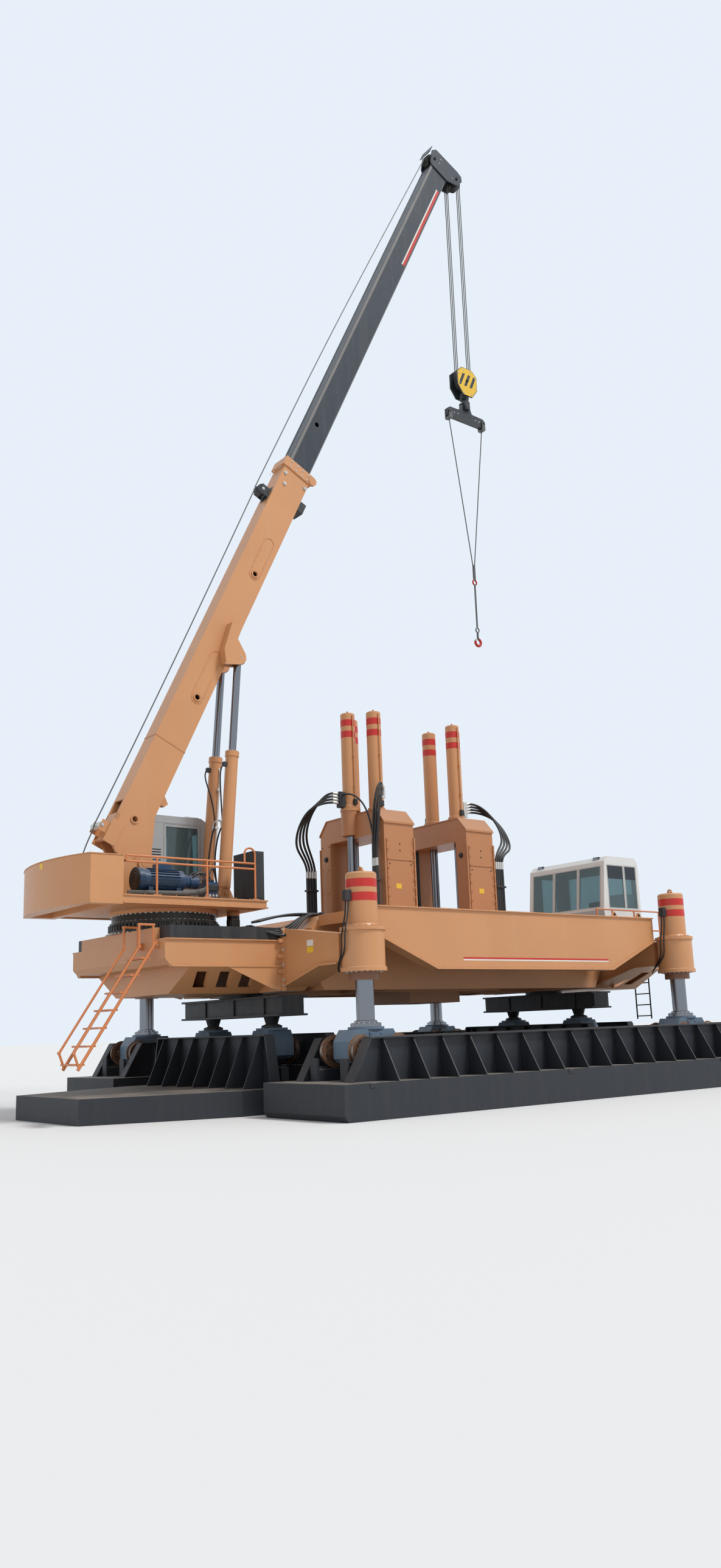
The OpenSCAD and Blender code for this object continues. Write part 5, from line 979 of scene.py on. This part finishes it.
# the shackle's bow and the small hook are bent bars: height, bend radius, bar radius, arc, start
for name, z, bend, bar, arc, start in (("shackle_red", 11.87, 0.0602, 0.0195, 300, -60),
                                       ("hook_red", 10.338, 0.088, 0.0325, 268, -192)):
    turns = [math.radians(start + arc * i / 36) for i in range(37)]
    bow = [(hang_x + bend * math.cos(a), 0, z + bend * math.sin(a)) for a in turns]
    hoses(name, "hook", red_hook, [bow], bar)
slab("hook_latch", "hook", zinc, "rope_steel", (hang_x - 0.085, -0.010, 10.40), (hang_x - 0.02, 0.010, 10.43))

# The operator's cab: white painted sheet over a steel frame, with black-framed tinted
# glass all round and a grey skirt, standing on the right-hand module.
dress(cab_white, "operator_cab", "operator_door")
for k, (y0, y1) in enumerate(((-1.07, -0.43), (-0.35, 0.35), (0.43, 1.07))):
    window("cab_front_window_%d" % k, "hull", "-x", (y0, 3.96), (y1, 4.92), 0.0, lip=0.018,
           lean=leaning(5.1616, 4.44, 6.5))
# a dark strip laid just outside the upper part of the glass of each near window
top_dark = painted("window_top_dark", (0.010, 0.014, 0.022), chips=0.0, dusty=0.1, rough=0.12, bump=0.0)
for k, (x0, x1) in enumerate(((5.32, 5.88), (5.95, 6.34))):
    window("cab_near_window_%d" % k, "hull", "-y", (x0, 3.94), (x1, 4.94), -1.2, lip=0.018)
    slab("cab_window_top_dark_%d" % k, "hull", top_dark, "black_paint", (x0 - 0.003, -1.1895, 4.63),
         (x1 + 0.003, -1.1885, 4.943), 0.0003)
window("cab_rear_window", "hull", "+x", (-1.0, 4.04), (1.0, 4.90), 6.45)
window("cab_door_window", "operator_door", "+y", (5.596, 3.98), (6.124, 4.89), 1.2)
slabs("hull", cab_grey, "grey_paint",
      ("cab_front_band", (5.0975, -1.195, 3.74), (5.1005, 1.195, 3.885), 0.001),
      ("cab_skirt_near", (5.16, -1.2035, 3.145), (6.445, -1.1995, 3.30), 0.001),
      ("cab_console_b", (5.98, -1.10, 3.194), (6.36, -0.62, 4.30), 0.015))
slabs("hull", cab_white, "white_paint",
      ("cab_roof_hatch", (5.62, -0.55, 5.158), (6.18, 0.55, 5.19), 0.008),
      ("cab_swage_near_352", (5.14, -1.204, 3.52), (6.44, -1.1995, 3.54), 0.002),
      ("cab_swage_near_370", (5.14, -1.204, 3.70), (6.44, -1.1995, 3.72), 0.002))
skirt = [((5.25 + 0.19 * k, -1.2035, 3.22), (0, -1, 0)) for k in range(7)]
bolts("cab_skirt_bolts", "hull", zinc, skirt, 0.008)
for k, y in enumerate((-0.9, 0.9)):
    slab("cab_lamp_%d" % k, "hull", black, "black_paint", (5.285, y - 0.09, 5.075),
         (5.345, y + 0.09, 5.165), 0.012)
    slab("cab_lamp_face_%d" % k, "hull", chrome, "chrome", (5.2825, y - 0.075, 5.09),
         (5.2855, y + 0.075, 5.15), 0.001)
slab("cab_door_handle", "operator_door", seal, "black_paint", (5.555, 1.201, 3.88), (5.70, 1.225, 3.91),
     0.006)
slab("cab_floor_mat", "hull", rubber, "black_paint", (5.22, -1.14, 3.186), (6.39, 1.14, 3.194), 0.003)
seat("cab_seat", "hull", 5.92, -0.1, 3.194, -1)
slab("cab_console_a", "hull", seal, "black_paint", (5.30, -0.75, 3.194), (5.52, 0.55, 3.86), 0.02)

# The ladder and the platform at its head: round tube rails with flat treads, and a black
# ladder at the cab's end of the hull.
top_bolts = [((-6.77, -1.591, 2.84), (0, -1, 0)), ((-6.77, -0.969, 2.84), (0, 1, 0))]
bolts("ladder_bolts", "hull", zinc, top_bolts, 0.012)
rear_x, rear_y = 6.79, (-0.98, -0.56)
for k, y in enumerate(rear_y):
    hoses("right_ladder_rail_%d" % k, "hull", black,
          [[(rear_x, y, z) for z in (1.35, 1.9, 2.5, 2.90)]], 0.018)
for k in range(6):
    rung = [(rear_x, y, 1.42 + 0.26 * k) for y in (rear_y[0], -0.8, rear_y[1])]
    hoses("right_ladder_rung_%d" % k, "hull", black, [rung], 0.014)
for k, z in enumerate((2.60, 2.85)):
    slab("right_ladder_bracket_%d" % k, "hull", black, "black_paint", (6.745, -1.00, z),
         (6.80, -0.54, z + 0.03))

# Deck pipes and hose bundles: steel pipes clipped to the deck beside the turret, and black
# hoses that hang in loops where the modules join.
def side_by_side(name, material, radius, way):
    """Four lines through way, each step given as x, y, z, then what y and z lose per line."""
    runs = [[(x, y - dy * k, z - dz * k) for x, y, z, dy, dz in way] for k in range(4)]
    hoses(name, "hull", material, runs, radius)
side_by_side("deck_pipes", black, 0.024, (
    (-4.85, -1.50, 3.27, 0.075, 0), (-4.3, -1.50, 3.42, 0.075, 0), (-3.8, -1.50, 3.44, 0.075, 0),
    (-2.9, -1.50, 3.44, 0.075, 0), (-2.2, -1.45, 3.43, 0.05, 0)))
side_by_side("module_hoses_left", rubber, 0.022, (
    (-4.95, -1.45, 3.20, 0.05, 0), (-4.75, -1.62, 3.16, 0.05, 0.02), (-4.5, -1.75, 3.12, 0.05, 0.05),
    (-4.2, -1.78, 3.20, 0.05, 0.04), (-3.95, -1.70, 3.38, 0.05, 0), (-3.7, -1.62, 3.43, 0.05, 0)))
side_by_side("module_hoses_right", rubber, 0.022, (
    (4.95, -1.40, 3.16, 0.05, 0), (4.7, -1.60, 3.10, 0.05, 0.03), (4.35, -1.75, 3.10, 0.05, 0.04),
    (4.0, -1.70, 3.30, 0.05, 0), (3.7, -1.60, 3.43, 0.05, 0), (2.9, -1.5, 3.43, 0.05, 0)))
for k, x in enumerate((-3.5, -2.7, 2.95, 3.5)):
    slab("pipe_saddle_%d" % k, "hull", black, "black_paint", (x - 0.03, -1.80, 3.39),
         (x + 0.03, -1.42, 3.47), 0.005)
